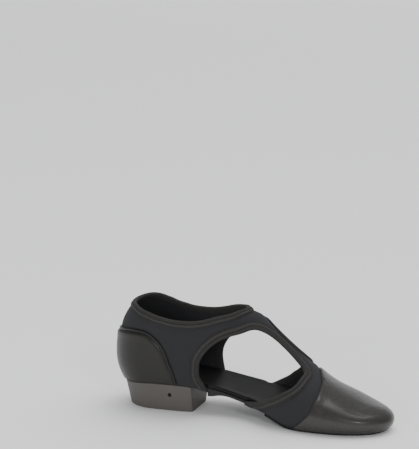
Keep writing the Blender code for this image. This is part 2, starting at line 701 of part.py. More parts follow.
def build():
    for thing in list(bpy.data.objects):
        bpy.data.objects.remove(thing, do_unlink=True)
    group = bpy.data.collections.new(NAME)
    bpy.context.scene.collection.children.link(group)

    points, triangles, regions = weld([half_upper(-1), half_upper(1)])
    ways = offset_directions(points, triangles)
    verts, faces = thicken(points, triangles, ways, -WALL, 0.0)
    make_object("upper", verts, faces, group, (0.032, 0.032, 0.036), 0.85)
    for name, thickness, colour, roughness in (
            ("toe_cap", LEATHER, (0.045, 0.043, 0.041), 0.45),
            ("heel_counter", LEATHER, (0.030, 0.029, 0.028), 0.45),
            ("binding_collar", BINDING, (0.042, 0.038, 0.036), 0.75),
            ("binding_medial", BINDING, (0.042, 0.038, 0.036), 0.75),
            ("binding_lateral", BINDING, (0.042, 0.038, 0.036), 0.75)):
        chosen = triangles[regions == name]
        verts, faces = thicken(points, chosen, ways, GAP, GAP + thickness)
        make_object(name, verts, faces, group, colour, roughness)

    rear = OPENING_MEDIAL[0][0]
    front = OPENING_MEDIAL[-1][0]

    def spread(first, last, count):
        return list(np.linspace(first, last, count))
    start = [0.0025, 0.008, 0.018, 0.035, 0.06, 0.09]
    finish = [0.94, 0.965, 0.982, 0.992, 0.9975]
    middle = spread(0.12, BREAST_AT + 0.012, 6) + [rear - 0.012, rear + 0.003, rear + 0.006, rear + 0.03]
    middle += spread(rear + 0.05, front - 0.03, 6) + [front - 0.006, front - 0.003]
    middle += spread(front + 0.012, 0.91, 13)
    stations = start + middle + finish

    def board_inset(station):
        return BOARD_INSET if rear + 0.005 < station < front - 0.005 else MARGIN + BOARD_CLEAR
    medial, lateral = border_rungs(stations, board_inset)
    verts, faces = ladder(medial, lateral, board_underside, lambda x: seat_height(x) + BOARD)
    make_object("sole_board", verts, faces, group, (0.030, 0.029, 0.028), 0.7)

    def insole_inset(station):
        return ARCH_INSET if rear + 0.005 < station < front - 0.005 else INSOLE_INSET
    medial, lateral = border_rungs(stations, insole_inset)
    insole_low = BOARD + GAP
    verts, faces = ladder(medial, lateral, lambda x: seat_height(x) + insole_low,
                          lambda x: seat_height(x) + insole_low + INSOLE)
    make_object("insole", verts, faces, group, (0.013, 0.013, 0.013), 0.4)

    under = spread(STEP_AT, 0.91, 15) + finish
    medial, lateral = border_rungs(under, lambda station: -OUTSOLE_PROUD)
    verts, faces = ladder(medial, lateral, lambda x: seat_height(x) - GAP - OUTSOLE,
                          lambda x: seat_height(x) - GAP)
    make_object("forefoot_outsole", verts, faces, group, (0.026, 0.026, 0.026), 0.6)

    verts, faces = heel_block()
    make_object("heel_block", verts, faces, group, (0.075, 0.070, 0.066), 0.5)
    for thing in group.objects:
        print(thing.name, len(thing.data.vertices), sum(len(p.vertices) - 2 for p in thing.data.polygons))


build()
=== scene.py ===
# %% [markdown]
# A jazz shoe, built as a shoemaker would: a soft cloth upper over a last, leather at the toe and the
# heel, tape round every cut edge, and a thin sole with a moulded heel block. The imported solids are
# loaded first. They fix every size, and each piece made here stands for one of them.

import bmesh
import bpy
import numpy as np
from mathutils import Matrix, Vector
from mathutils.geometry import delaunay_2d_cdt
from mathutils.kdtree import KDTree


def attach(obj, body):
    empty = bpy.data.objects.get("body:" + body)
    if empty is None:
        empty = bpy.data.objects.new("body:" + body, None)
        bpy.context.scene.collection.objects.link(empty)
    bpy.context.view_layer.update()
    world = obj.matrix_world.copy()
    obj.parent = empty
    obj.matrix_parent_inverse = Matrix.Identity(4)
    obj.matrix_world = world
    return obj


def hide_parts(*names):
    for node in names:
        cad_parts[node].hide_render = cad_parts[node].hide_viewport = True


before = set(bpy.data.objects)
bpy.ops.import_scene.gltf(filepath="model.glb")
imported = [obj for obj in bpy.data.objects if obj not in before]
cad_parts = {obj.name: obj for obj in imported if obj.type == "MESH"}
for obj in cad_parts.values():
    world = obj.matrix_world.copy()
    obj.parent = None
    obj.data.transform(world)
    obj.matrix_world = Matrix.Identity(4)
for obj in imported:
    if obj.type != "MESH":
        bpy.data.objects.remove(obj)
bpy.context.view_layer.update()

# %% [markdown]
# The last is the wooden foot that a shoe is pulled over. Here it is a formula, the same one that made
# the solids, so every surface lands where its solid is. A few sizes drive it, in metres, and short
# tables hold its shape as shares of those sizes.

# %% Sizes of the shoe
LENGTH = 0.250            # rearmost point of the heel curve to the tip of the toe
BALL_WIDTH = 0.084        # widest place, across the joints of the foot
HEEL_HEIGHT = 0.024       # floor to the underside of the seat at the back of the arch
INSTEP_HEIGHT = 0.096     # floor to the ridge of the last where the leg comes out
WALL = 0.0021             # thickness of the padded cloth of the upper
LEATHER = 0.0012          # thickness of the toe cap and of the heel counter
BINDING = 0.0008          # thickness of the folded strip along each cut edge
BINDING_WIDTH = 0.0055    # how far a binding reaches in from its edge
COLLAR_BINDING = 0.0045   # the same at the collar
MARGIN = 0.010            # the part of the upper that is turned under the foot
BOARD = 0.0026            # thickness of the sole board
INSOLE = 0.0027           # thickness of the insole
OUTSOLE = 0.0018          # thickness of the forefoot outsole
GAP = 0.0003              # clearance between neighbouring pieces
BREAST_AT = 0.292         # front face of the heel block, as a share of the length
STEP_AT = 0.580           # back edge of the forefoot outsole, as a share of the length
PEAK = 0.20               # share of the way up the wall at which the shoe is widest
FAN = 0.70                # how much of the length the ridge keeps
LEAN_AT = 0.24            # share of the length over which the heel curve fades out
HEEL_ROUND = 0.030        # length of the rounding in plan at the back
TOE_ROUND = 0.052         # length of the rounding in plan at the toe
TOE_POWER = 2.7           # how full that rounding is
BOARD_CLEAR = 0.0008      # between the turned margin and the board
BOARD_INSET = 0.0004      # board inside the sole edge in the arch
INSOLE_INSET = 0.0033     # insole inside the sole edge where the wall stands
ARCH_INSET = 0.0010       # insole inside the sole edge in the arch
OUTSOLE_PROUD = 0.0004    # outsole outside the sole edge
HEEL_CENTRE = 0.0447      # middle of the heel's ground contact, from the rearmost point
HEEL_BACK = 0.0137        # where the ground contact starts
HEEL_FRONT = 0.0757       # where it ends, at the breast
HEEL_TAPER = 0.72         # width on the ground as a share of the width under the seat
HEEL_SHIFT = 0.0045       # how far the ground contact stands to the medial side

# %% Tables of the last
# Plan of the last. Along is a share of LENGTH, the rest are shares of BALL_WIDTH.
# Columns: along, medial, lateral, ridge.
PLAN = [
    (0.000, 0.315, 0.315, 0.000),
    (0.120, 0.339, 0.345, 0.000),
    (0.240, 0.327, 0.351, 0.000),
    (0.400, 0.321, 0.381, -0.002),
    (0.540, 0.381, 0.452, 0.000),
    (0.632, 0.452, 0.494, 0.004),
    (0.720, 0.494, 0.494, -0.030),
    (0.820, 0.488, 0.435, -0.084),
    (1.000, 0.429, 0.238, -0.119)]

# Height of the ridge over the floor, as a share of INSTEP_HEIGHT. Behind the throat it is open.
# Columns: along, height.
TOP = [
    (0.000, 1.800), (0.160, 1.680), (0.300, 1.400), (0.400, 1.150), (0.480, 0.936),
    (0.512, 0.896), (0.547, 0.819), (0.619, 0.661), (0.691, 0.491), (0.762, 0.352),
    (0.834, 0.274), (0.905, 0.210), (0.950, 0.203), (1.000, 0.202)]

# Underside of the sole board, as a share of HEEL_HEIGHT. It is never lower than the outsole lets it be.
# Columns: along, height.
SEAT = [
    (0.000, 0.833), (0.060, 0.896), (0.140, 0.975), (0.220, 0.992), (0.280, 0.967),
    (0.340, 0.888), (0.420, 0.733), (0.500, 0.560), (0.552, 0.444), (0.588, 0.352),
    (0.620, 0.232), (0.652, 0.130), (0.690, 0.085), (0.760, 0.083), (0.850, 0.084),
    (0.900, 0.094), (0.948, 0.105), (1.000, 0.140)]

# Wedge under the board in front of the heel. Along is a share of LENGTH, drop of HEEL_HEIGHT.
# Columns: along, drop.
WEDGE = [
    (0.314, 0.000), (0.340, 0.195), (0.358, 0.195), (0.372, 0.165), (0.384, 0.120),
    (0.396, 0.070), (0.412, 0.025), (0.432, 0.000)]

# Wall of the last. Wide is the height of the widest level over the seat, as a share of HEEL_HEIGHT.
# Foot columns are the width at the sole edge as shares of the widest, turn is the roll of the wall
# under the foot in degrees, square columns are how square the arch over the foot is on each side.
# Columns: along, wide, foot_m, foot_l, turn, square_m, square_l.
WALLS = [
    (0.000, 0.958, 0.930, 0.930, 45.0, 2.20, 2.20),
    (0.120, 0.875, 0.930, 0.930, 45.0, 2.20, 2.20),
    (0.240, 0.833, 0.900, 0.920, 55.0, 2.10, 2.10),
    (0.400, 1.167, 0.760, 0.900, 65.0, 2.00, 1.95),
    (0.540, 0.917, 0.800, 0.890, 72.0, 2.05, 1.85),
    (0.632, 0.583, 0.870, 0.890, 80.0, 2.10, 1.80),
    (0.720, 0.479, 0.900, 0.900, 82.0, 2.20, 1.80),
    (0.860, 0.417, 0.880, 0.880, 82.0, 2.30, 1.90),
    (1.000, 0.270, 0.860, 0.860, 82.0, 2.30, 2.30)]

# Lean of the back of the heel. Height is a share of INSTEP_HEIGHT, inset a share of LENGTH.
# Columns: height, inset.
BACK = [
    (0.000, 0.0524), (0.083, 0.0384), (0.188, 0.0252), (0.281, 0.0112), (0.375, 0.0024),
    (0.479, 0.0000), (0.594, 0.0044), (0.771, 0.0232), (0.927, 0.0548), (1.250, 0.1320)]

# %% The skin of the last
def smooth_curve(table, column):
    """Return a smooth curve through one column of a table, over the first column."""
    x = np.array([row[0] for row in table], float)
    y = np.array([row[column] for row in table], float)
    step = np.diff(x)
    count = len(x)
    matrix = np.eye(count)
    right_side = np.zeros(count)
    for i in range(1, count - 1):
        matrix[i, i - 1:i + 2] = step[i - 1], 2 * (step[i - 1] + step[i]), step[i]
        right_side[i] = 6 * ((y[i + 1] - y[i]) / step[i] - (y[i] - y[i - 1]) / step[i - 1])
    bend = np.linalg.solve(matrix, right_side)

    def at(s):
        s = np.clip(s, x[0], x[-1])
        i = np.clip(np.searchsorted(x, s) - 1, 0, count - 2)
        left, right = s - x[i], x[i + 1] - s
        return ((bend[i] * right**3 + bend[i + 1] * left**3) / (6 * step[i])
                + (y[i] / step[i] - bend[i] * step[i] / 6) * right
                + (y[i + 1] / step[i] - bend[i + 1] * step[i] / 6) * left)
    return at


medial_curve, lateral_curve, ridge_curve = (smooth_curve(PLAN, k) for k in (1, 2, 3))
top_curve, seat_curve, back_curve = (smooth_curve(table, 1) for table in (TOP, SEAT, BACK))
wide_curve, foot_m_curve, foot_l_curve, turn_curve, square_m_curve, square_l_curve = (
    smooth_curve(WALLS, k) for k in (1, 2, 3, 4, 5, 6))


def seat_height(x):
    """Underside of the board over the floor, exactly flat where the ball of the foot rests."""
    return np.maximum(seat_curve(x / LENGTH) * HEEL_HEIGHT, OUTSOLE + GAP)


def board_underside(x):
    """Lower face of the sole board: the seat, and the wedge that fills the corner at the heel."""
    along, drop = zip(*WEDGE)
    return seat_height(x) - np.interp(x / LENGTH, along, drop) * HEEL_HEIGHT


def heel_lean(x, z):
    """How far forward the heel curve moves a point at a height."""
    share = np.clip(1 - x / (LENGTH * LEAN_AT), 0, 1)**1.5
    return back_curve(np.clip(z / INSTEP_HEIGHT, 0, 1.25)) * LENGTH * share


def rounding(x):
    """Share of the half width that the plan keeps near its two ends."""
    heel = np.clip((HEEL_ROUND - x) / HEEL_ROUND, 0, 1)
    toe = np.clip((x - (LENGTH - TOE_ROUND)) / TOE_ROUND, 0, 1)
    return np.sqrt(np.clip(1 - heel**2, 0, 1)) * np.sqrt(np.clip(1 - toe**TOE_POWER, 0, 1))


def skin(loop, up):
    """Point on the outside of the upper.

    Loop runs from 0 at the back of the heel to -1 at the toe on the medial side, or +1 on the
    lateral side. Up runs from 0 at the sole edge to 1 on the ridge, and below 0 it is turned
    under the foot, one unit being one metre.
    """
    loop, up = np.broadcast_arrays(np.asarray(loop, float), np.asarray(up, float))
    share = (1 - np.cos(np.pi * np.abs(loop))) / 2
    out_x = LENGTH * share
    out_ridge = ridge_curve(share) * BALL_WIDTH
    edge = np.where(loop < 0, -medial_curve(share), lateral_curve(share)) * BALL_WIDTH
    out_y = out_ridge + (edge - out_ridge) * rounding(out_x)
    in_x = LENGTH / 2 + FAN * (out_x - LENGTH / 2)
    in_y = ridge_curve(in_x / LENGTH) * BALL_WIDTH
    turn = np.radians(turn_curve(share))
    angle = turn * (1 - np.clip(up / PEAK, 0, 1))
    foot = np.where(loop < 0, foot_m_curve(share), foot_l_curve(share))
    low_reach = 1 - (1 - foot) * (1 - np.cos(angle)) / (1 - np.cos(turn))
    quarter = np.clip((up - PEAK) / (1 - PEAK), 0, 1) * np.pi / 2
    power = np.where(loop < 0, square_m_curve(share), square_l_curve(share))
    across, rise = np.clip(np.cos(quarter), 0, 1), np.sin(quarter)
    radius = (across**power + rise**power)**(-1 / power)
    span = np.hypot(out_x - in_x, out_y - in_y)
    reach = np.where(up < PEAK, low_reach, radius * across) + np.minimum(up, 0) / span
    x = in_x + (out_x - in_x) * reach
    y = in_y + (out_y - in_y) * reach
    low = seat_height(x + heel_lean(x, seat_height(x)))
    wide = low + wide_curve(x / LENGTH) * HEEL_HEIGHT
    z_low = wide - (wide - low) * np.sin(angle) / np.sin(turn)
    z_high = wide + (top_curve(x / LENGTH) * INSTEP_HEIGHT - wide) * radius * rise
    z = np.where(up < PEAK, z_low, z_high)
    return np.stack([x + heel_lean(x, z), y, z], -1)


print("toe at", np.round(skin(-1.0, 0.0) * 1000, 1), "throat", np.round(skin(0.48, 1.0) * 1000, 1))

# %% [markdown]
# The upper is cut from flat cloth, so each cut line is a curve on the skin of the last: the collar, the
# opening on each side of the arch, the seam of the toe cap and the edge of the heel counter.

# %% Cut lines
# Cut lines of the upper. Columns of all: station, up. Station is the share of LENGTH at the foot of the
# wall, and up is as in skin.
COLLAR = [
    (0.000, 0.383), (0.020, 0.386), (0.055, 0.385), (0.086, 0.380), (0.113, 0.376),
    (0.139, 0.374), (0.167, 0.372), (0.192, 0.374), (0.216, 0.376), (0.245, 0.381),
    (0.274, 0.390), (0.304, 0.404), (0.332, 0.427), (0.361, 0.466), (0.386, 0.519),
    (0.411, 0.592), (0.434, 0.694), (0.448, 0.790), (0.459, 0.890), (0.466, 1.000)]

# The opening of each side, from the back of the arch up, over and down to the front of the arch.
OPENING_MEDIAL = [
    (0.340, 0.000), (0.337, 0.040), (0.329, 0.080), (0.325, 0.120), (0.326, 0.163),
    (0.329, 0.200), (0.341, 0.242), (0.362, 0.292), (0.385, 0.343), (0.406, 0.395),
    (0.428, 0.454), (0.447, 0.512), (0.467, 0.575), (0.486, 0.638), (0.506, 0.700),
    (0.528, 0.766), (0.553, 0.832), (0.580, 0.885), (0.611, 0.915), (0.648, 0.926),
    (0.690, 0.929), (0.724, 0.926), (0.746, 0.915), (0.758, 0.888), (0.757, 0.845),
    (0.745, 0.780), (0.719, 0.636), (0.690, 0.506), (0.660, 0.400), (0.635, 0.312),
    (0.611, 0.228), (0.583, 0.149), (0.556, 0.092), (0.528, 0.046), (0.500, 0.000)]
OPENING_LATERAL = [
    (0.340, 0.000), (0.338, 0.050), (0.334, 0.095), (0.331, 0.134), (0.331, 0.164),
    (0.335, 0.196), (0.356, 0.260), (0.372, 0.298), (0.391, 0.344), (0.415, 0.410),
    (0.440, 0.490), (0.467, 0.584), (0.495, 0.665), (0.530, 0.752), (0.567, 0.834),
    (0.608, 0.881), (0.647, 0.893), (0.671, 0.876), (0.686, 0.832), (0.690, 0.767),
    (0.686, 0.697), (0.672, 0.614), (0.650, 0.515), (0.631, 0.400), (0.608, 0.280),
    (0.580, 0.171), (0.549, 0.100), (0.523, 0.046), (0.500, 0.000)]

# The seam of the toe cap runs further back on the lateral side, as the joints of the foot do.
CAP_SEAM_MEDIAL = [
    (0.850, 1.000), (0.845, 0.965), (0.829, 0.874), (0.806, 0.743), (0.785, 0.602),
    (0.768, 0.475), (0.755, 0.343), (0.738, 0.218), (0.720, 0.147), (0.702, 0.080),
    (0.688, 0.022), (0.682, 0.000)]
CAP_SEAM_LATERAL = [
    (0.850, 1.000), (0.838, 0.980), (0.813, 0.925), (0.764, 0.792), (0.728, 0.670),
    (0.700, 0.534), (0.688, 0.430), (0.678, 0.330), (0.663, 0.215), (0.649, 0.122),
    (0.635, 0.037), (0.629, 0.000)]

# Upper edge of the heel counter, from the centre of the back to its foot.
COUNTER_EDGE = [
    (0.000, 0.285), (0.029, 0.297), (0.060, 0.305), (0.088, 0.309), (0.122, 0.310),
    (0.148, 0.307), (0.168, 0.297), (0.189, 0.281), (0.204, 0.263), (0.218, 0.235),
    (0.235, 0.168), (0.245, 0.080), (0.248, 0.000)]

CAP_FOOT = 0.045          # up share at which the toe cap ends over the outsole
COUNTER_FOOT = 0.020      # up share at which the counter ends over the heel block

# %% [markdown]
# A pattern maker works in the flat. This class lays one half of the upper flat and brings points back
# to the last, so that lines can be drawn beside one another at a true width, as a compass would.

# %% The flat pattern
PATTERN_COLUMNS, PATTERN_ROWS = 201, 161    # fineness with which one half is laid out


def run_along(points):
    """Length along a line from its first point to each point."""
    return np.concatenate([[0.0], np.cumsum(np.linalg.norm(np.diff(points, axis=0), axis=1))])


def loop_of(station):
    """Loop value, without its sign, of a station along the foot of the wall."""
    return np.arccos(1 - 2 * np.clip(np.asarray(station, float), 0, 1)) / np.pi


class Pattern:
    """Flat pattern of one half of the upper, in metres, with the way there and back."""

    def __init__(self, side):
        self.side = side
        self.loops = np.linspace(0, 1, PATTERN_COLUMNS)
        self.ups = np.linspace(0, 1, PATTERN_ROWS)
        grid = skin(side * self.loops[:, None], self.ups[None, :])
        steps = np.linalg.norm(np.diff(grid, axis=1), axis=2)
        self.rise = np.concatenate([np.zeros((PATTERN_COLUMNS, 1)), np.cumsum(steps, axis=1)], axis=1)
        self.along = run_along(skin(side * self.loops, PEAK))

    def rises(self, loops):
        """Height over the sole edge of each of the pattern's ups, a row for each loop."""
        place = np.clip(loops, 0, 1) * (len(self.loops) - 1)
        low = np.clip(place.astype(int), 0, len(self.loops) - 2)
        part = (place - low)[:, None]
        return self.rise[low] * (1 - part) + self.rise[low + 1] * part

    def flat(self, loops, ups):
        """Flat points of loops and ups. What is turned under the foot keeps its metres."""
        loops, ups = np.atleast_1d(loops), np.atleast_1d(ups)
        height = [np.interp(up, self.ups, row) if up > 0 else up
                  for up, row in zip(ups, self.rises(loops))]
        return np.stack([np.interp(loops, self.loops, self.along), height], -1)

    def back(self, flat):
        """Pairs of loop and up of flat points."""
        loops = np.interp(flat[:, 0], self.along, self.loops)
        ups = [np.interp(height, row, self.ups) if height > 0 else height
               for height, row in zip(flat[:, 1], self.rises(loops))]
        return np.stack([loops, np.array(ups)], -1)

    def solid(self, pairs):
        """Points in space of pairs of loop and up."""
        pairs = np.asarray(pairs, float)
        return skin(self.side * pairs[:, 0], pairs[:, 1])

    def line(self, rows, step):
        """Points of loop and up along a smooth line through table rows, about one step apart."""
        pairs = np.array([(loop_of(row[0]), row[1]) for row in rows], float)
        knots = run_along(self.solid(pairs))
        table = [(knot, pair[0], pair[1]) for knot, pair in zip(knots, pairs)]
        t = np.linspace(0, knots[-1], 500)
        fine = np.stack([smooth_curve(table, 1)(t), smooth_curve(table, 2)(t)], -1)
        return self.even(np.clip(fine, 0, 1), step)

    def even(self, pairs, step):
        """Spread points evenly along a line of loop and up."""
        pairs = np.asarray(pairs, float)
        run = run_along(self.solid(pairs))
        t = np.linspace(0, run[-1], max(int(round(run[-1] / step)), 1) + 1)
        return np.stack([np.interp(t, run, pairs[:, 0]), np.interp(t, run, pairs[:, 1])], -1)

    def straight(self, first, last, step):
        """Points about one step apart between two pairs."""
        t = np.linspace(0, 1, 200)[:, None]
        return self.even(np.array(first) * (1 - t) + np.array(last) * t, step)

    def beside(self, pairs, width):
        """The line that runs beside another, to its left, at a width on the curved skin."""
        flat = self.flat(pairs[:, 0], pairs[:, 1])
        tangent = np.gradient(flat, axis=0)
        tangent /= np.linalg.norm(tangent, axis=1)[:, None]
        left = np.stack([-tangent[:, 1], tangent[:, 0]], -1)
        start = self.solid(pairs)
        reach = np.full(len(pairs), width)
        for _ in range(3):
            moved = self.back(flat + left * reach[:, None])
            got = np.linalg.norm(self.solid(moved) - start, axis=1)
            reach *= np.clip(abs(width) / np.maximum(got, 1e-5), 0.6, 1.8)
        return self.back(flat + left * reach[:, None])


def inside(points, outline):
    """True for each flat point that lies inside a closed outline."""
    x, y = points[:, 0], points[:, 1]
    found = np.zeros(len(points), bool)
    for (x1, y1), (x2, y2) in zip(outline, np.roll(outline, -1, axis=0)):
        crosses = (y1 > y) != (y2 > y)
        if y1 != y2:
            found ^= crosses & (x < (x2 - x1) * (y - y1) / (y2 - y1) + x1)
    return found


patterns = {-1: Pattern(-1), 1: Pattern(1)}
print("length of one side in mm", round(patterns[-1].along[-1] * 1000, 1))

# %% [markdown]
# Thickness is added along the direction that points straight out of the skin. It comes from two small
# steps on the formula, across the ridge and round the toe too, so that both halves agree where they
# meet. Under the foot the steps are in metres, as the turned margin is.

# %% Outward direction of the skin
LOOP_STEP = 0.003
UP_STEP = 0.006
UNDER_STEP = 0.0006


def unit(ways):
    """The same directions with a length of one."""
    return ways / np.maximum(np.linalg.norm(ways, axis=-1), 1e-12)[..., None]


def skin_anywhere(loop, up):
    """The skin past the ridge and past the toe, where it comes down on the other side."""
    over = up > 1
    loop = np.where(over, -loop, loop)
    up = np.where(over, 2 - up, up)
    loop = np.where(loop > 1, loop - 2, loop)
    loop = np.where(loop < -1, loop + 2, loop)
    return skin(loop, up)


def outward(loop, up):
    """Unit vector that leaves the skin at a right angle."""
    loop, up = np.broadcast_arrays(np.asarray(loop, float), np.asarray(up, float))
    above = np.where(up < 0, up + UNDER_STEP, up + UP_STEP)
    below = np.where(up < 0, up - UNDER_STEP, up - UP_STEP)
    below = np.where((up >= 0) & (up < UP_STEP), (up - UP_STEP) * UNDER_STEP / UP_STEP, below)
    rise = skin_anywhere(loop, above) - skin_anywhere(loop, below)
    run = skin_anywhere(loop + LOOP_STEP, up) - skin_anywhere(loop - LOOP_STEP, up)
    return unit(np.cross(rise, run))


print("straight out at the ball", np.round(outward(-0.6, 0.2), 2))
print("straight out on the ridge", np.round(outward(-0.5, 1.0), 2))

# %% [markdown]
# Every piece goes through one function that makes the mesh, gives it a material, smooths it, hangs it
# on the shoe's only body and hides the solid it stands for. The frame's origin is the middle of the
# heel rest, while the formula counts from the back of the heel, so one shift brings them together.

# %% Making a piece
ORIGIN = np.array([HEEL_CENTRE, 0.0, 0.0])


def place_object(name, data):
    """New object in the scene, for a mesh, a light or a camera."""
    thing = bpy.data.objects.new(name, data)
    bpy.context.scene.collection.objects.link(thing)
    return thing


def facing_out(verts, faces):
    """The faces of a closed mesh, turned over together if they point inwards."""
    verts = np.asarray(verts)
    volume = sum(np.dot(verts[face[0]], np.cross(verts[face[k]], verts[face[k + 1]]))
                 for face in faces for k in range(1, len(face) - 1))
    return [face[::-1] for face in faces] if volume < 0 else faces


def tube_faces(count, size, closed=False):
    """Quads between neighbours in a row of rings. Count is the number of rings, size that of points."""
    faces = []
    for ring in range(count if closed else count - 1):
        a, b = ring * size, (ring + 1) % count * size
        faces += [(a + k, a + (k + 1) % size, b + (k + 1) % size, b + k) for k in range(size)]
    return faces


def end_faces(count, size):
    """Quads that shut the first and last ring, where each ring's second half runs back to its start."""
    faces = []
    for base, turn in ((0, -1), ((count - 1) * size, 1)):
        faces += [(base + k, base + k + 1, base + size - 2 - k, base + size - 1 - k)[::turn]
                  for k in range(size // 2 - 1)]
    return faces


def enrol(piece, stands_for=None):
    """Hang a piece on the body it rides on, hide the solid it stands for, and print its counts."""
    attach(piece, "root")
    if stands_for:
        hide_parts(stands_for)
    report_piece(piece)


def make_piece(name, verts, faces, material, stands_for, smooth_angle=40.0):
    """Piece with its place in its mesh, riding on the shoe's only body."""
    mesh = bpy.data.meshes.new(name)
    mesh.from_pydata((np.asarray(verts) - ORIGIN).tolist(), [], [tuple(map(int, f)) for f in faces])
    mesh.validate()
    mesh.materials.append(material)
    piece = place_object(name, mesh)
    mesh.shade_smooth()
    mesh.set_sharp_from_angle(angle=np.radians(smooth_angle))
    enrol(piece, stands_for)
    return piece


def report_piece(piece):
    """Print the triangles of a piece and whether its faces point outwards."""
    body = bmesh.new()
    body.from_mesh(piece.data)
    open_edges = sum(1 for edge in body.edges if not edge.is_manifold)
    volume = body.calc_volume(signed=True) * 1e6
    triangles = sum(len(face.verts) - 2 for face in body.faces)
    body.free()
    print(piece.name, triangles, "triangles,", open_edges, "open edges,", round(volume, 2), "cm3")


# %% [markdown]
# A material is a small network of nodes. Written as nodes alone it is hard to read, so one class wraps
# a socket and lets plain arithmetic build the Math nodes. Every other node comes from one method, also
# in the tree that sews.

# %% Shader arithmetic
class Wire:
    """A value that runs through the nodes of a tree."""

    def __init__(self, tree, socket):
        self.tree = tree
        self.socket = socket

    @staticmethod
    def node(tree, kind, settings=None, output=0, **values):
        """Add a node: settings first, then the values or links of its sockets."""
        made = tree.nodes.new(kind)
        for key, value in (settings or {}).items():
            setattr(made, key, value)
        for key, value in values.items():
            socket = made.inputs[int(key[1:])] if key[1:].isdigit() else made.inputs[key.replace("_", " ")]
            if isinstance(value, Wire):
                tree.links.new(value.socket, socket)
            else:
                socket.default_value = value
        return Wire(tree, made.outputs[output])

    def maths(self, operation, first, second):
        return Wire.node(self.tree, "ShaderNodeMath", {"operation": operation}, s0=first, s1=second)

    def __add__(self, other):
        return self.maths("ADD", self, other)

    def __radd__(self, other):
        return self.maths("ADD", other, self)

    def __sub__(self, other):
        return self.maths("SUBTRACT", self, other)

    def __rsub__(self, other):
        return self.maths("SUBTRACT", other, self)

    def __mul__(self, other):
        return self.maths("MULTIPLY", self, other)

    def __rmul__(self, other):
        return self.maths("MULTIPLY", other, self)

    def sine(self):
        return Wire.node(self.tree, "ShaderNodeMath", {"operation": "SINE"}, s0=self)

    def ramp(self, low, high):
        """0 below low, 1 above high, smooth between."""
        return Wire.node(self.tree, "ShaderNodeMapRange", {"interpolation_type": "SMOOTHSTEP"},
                         Value=self, From_Min=low, From_Max=high)


def noise(tree, place, scale, detail=3.0, roughness=0.55):
    """Cloudy value about 0.5, with its scale in patches per metre."""
    return Wire.node(tree, "ShaderNodeTexNoise", Vector=place, Scale=scale, Detail=detail,
                     Roughness=roughness)


def two_tone(tree, shade, colour, dark, light):
    """Colour between a darker and a lighter share of one colour, as shade runs from 0 to 1."""
    low, high = ((*(part * share for part in linear(colour)), 1.0) for share in (dark, light))
    return Wire.node(tree, "ShaderNodeMix", {"data_type": "RGBA"}, output=2, s0=shade, s6=low, s7=high)


def start_material(name):
    """Empty material with its Principled shader, and the place on the object in metres."""
    material = bpy.data.materials.new(name)
    material.use_nodes = True
    tree = material.node_tree
    shader = tree.nodes["Principled BSDF"]
    place = Wire.node(tree, "ShaderNodeTexCoord", output=3)
    return material, tree, shader, place


def finish_material(tree, shader, colour, roughness, height, depth, plain):
    """Link what changes over the surface, with a bump of a depth in metres, and set what is plain."""
    bump = Wire.node(tree, "ShaderNodeBump", Height=height, Distance=depth, Strength=1.0)
    for key, wire in (("Base Color", colour), ("Roughness", roughness), ("Normal", bump)):
        tree.links.new(wire.socket, shader.inputs[key])
    for key, value in plain.items():
        shader.inputs[key].default_value = value


def linear(colour):
    """Colour as the eye names it, 0 to 255, turned into the light that a shader counts in."""
    share = np.array(colour) / 255
    return tuple(np.where(share <= 0.04045, share / 12.92, ((share + 0.055) / 1.055) ** 2.4).tolist())


CLOTH_BLACK, TAPE_BLACK = (44, 44, 46), (48, 47, 46)
print("black cloth reflects", np.round(linear(CLOTH_BLACK), 4))

# %% [markdown]
# The upper is a padded knit: a thin foam between two fine jerseys. It is dull and even, with a very
# fine rib. The weave is far too small for geometry, so it is a bump, made of two crossed waves that
# follow the pattern's own flat coordinates, with a slow cloud that makes the black a little uneven.

# %% Knitted cloth
KNIT_PITCH, TAPE_PITCH = 0.0009, 0.0008    # from rib to rib
ROW_SHARE = 1.35          # rows of loops to one rib
CLOUD, FUZZ = 60.0, 2600.0    # patches a metre of the slow unevenness and of the fuzz of the yarn


def knitted_cloth(name, colour, pitch, dull, unevenness=0.10):
    """Fine rib knit along the piece's own UV map, which is in metres."""
    material, tree, shader, place = start_material(name)
    flat = Wire.node(tree, "ShaderNodeUVMap", {"uv_map": "flat"})
    along = Wire.node(tree, "ShaderNodeSeparateXYZ", Vector=flat)
    across = Wire(tree, along.socket.node.outputs[1])
    turn = 2 * np.pi / pitch
    rib = (along * turn).sine()
    loops = (across * (turn * ROW_SHARE)).sine()
    cloud = noise(tree, place, CLOUD)
    fuzz = noise(tree, place, FUZZ, 2.0)
    height = rib * 0.30 + rib * loops * 0.35 + fuzz * 0.5
    shade = (cloud - 0.5) * unevenness + (fuzz - 0.5) * 0.18 + rib * loops * 0.05 + 0.5
    finish_material(tree, shader, two_tone(tree, shade, colour, 0.62, 1.38),
                    dull + (fuzz - 0.5) * 0.1, height, 0.00010,
                    {"Specular IOR Level": 0.20, "Sheen Weight": 0.03, "Sheen Roughness": 0.6})
    return material


cloth_finish = knitted_cloth("padded_knit", CLOTH_BLACK, KNIT_PITCH, 0.88)
print(cloth_finish.name, len(cloth_finish.node_tree.nodes), "nodes")

# %% [markdown]
# Leather shows a grain of small irregular cells with creases between them, a soft gloss, and a tone
# that is never quite even. Cell edges come from a Voronoi pattern, warped by noise so that no cell is
# regular, and they make the bump. The gloss is a thin coat over a rougher base.

# %% Leather
HIDE_CLOUD = 38.0         # patches a metre of the slow change of tone
PORE = 0.16               # width of the crease between two cells, as a share of a cell
COAT_ROUGHNESS = 0.20


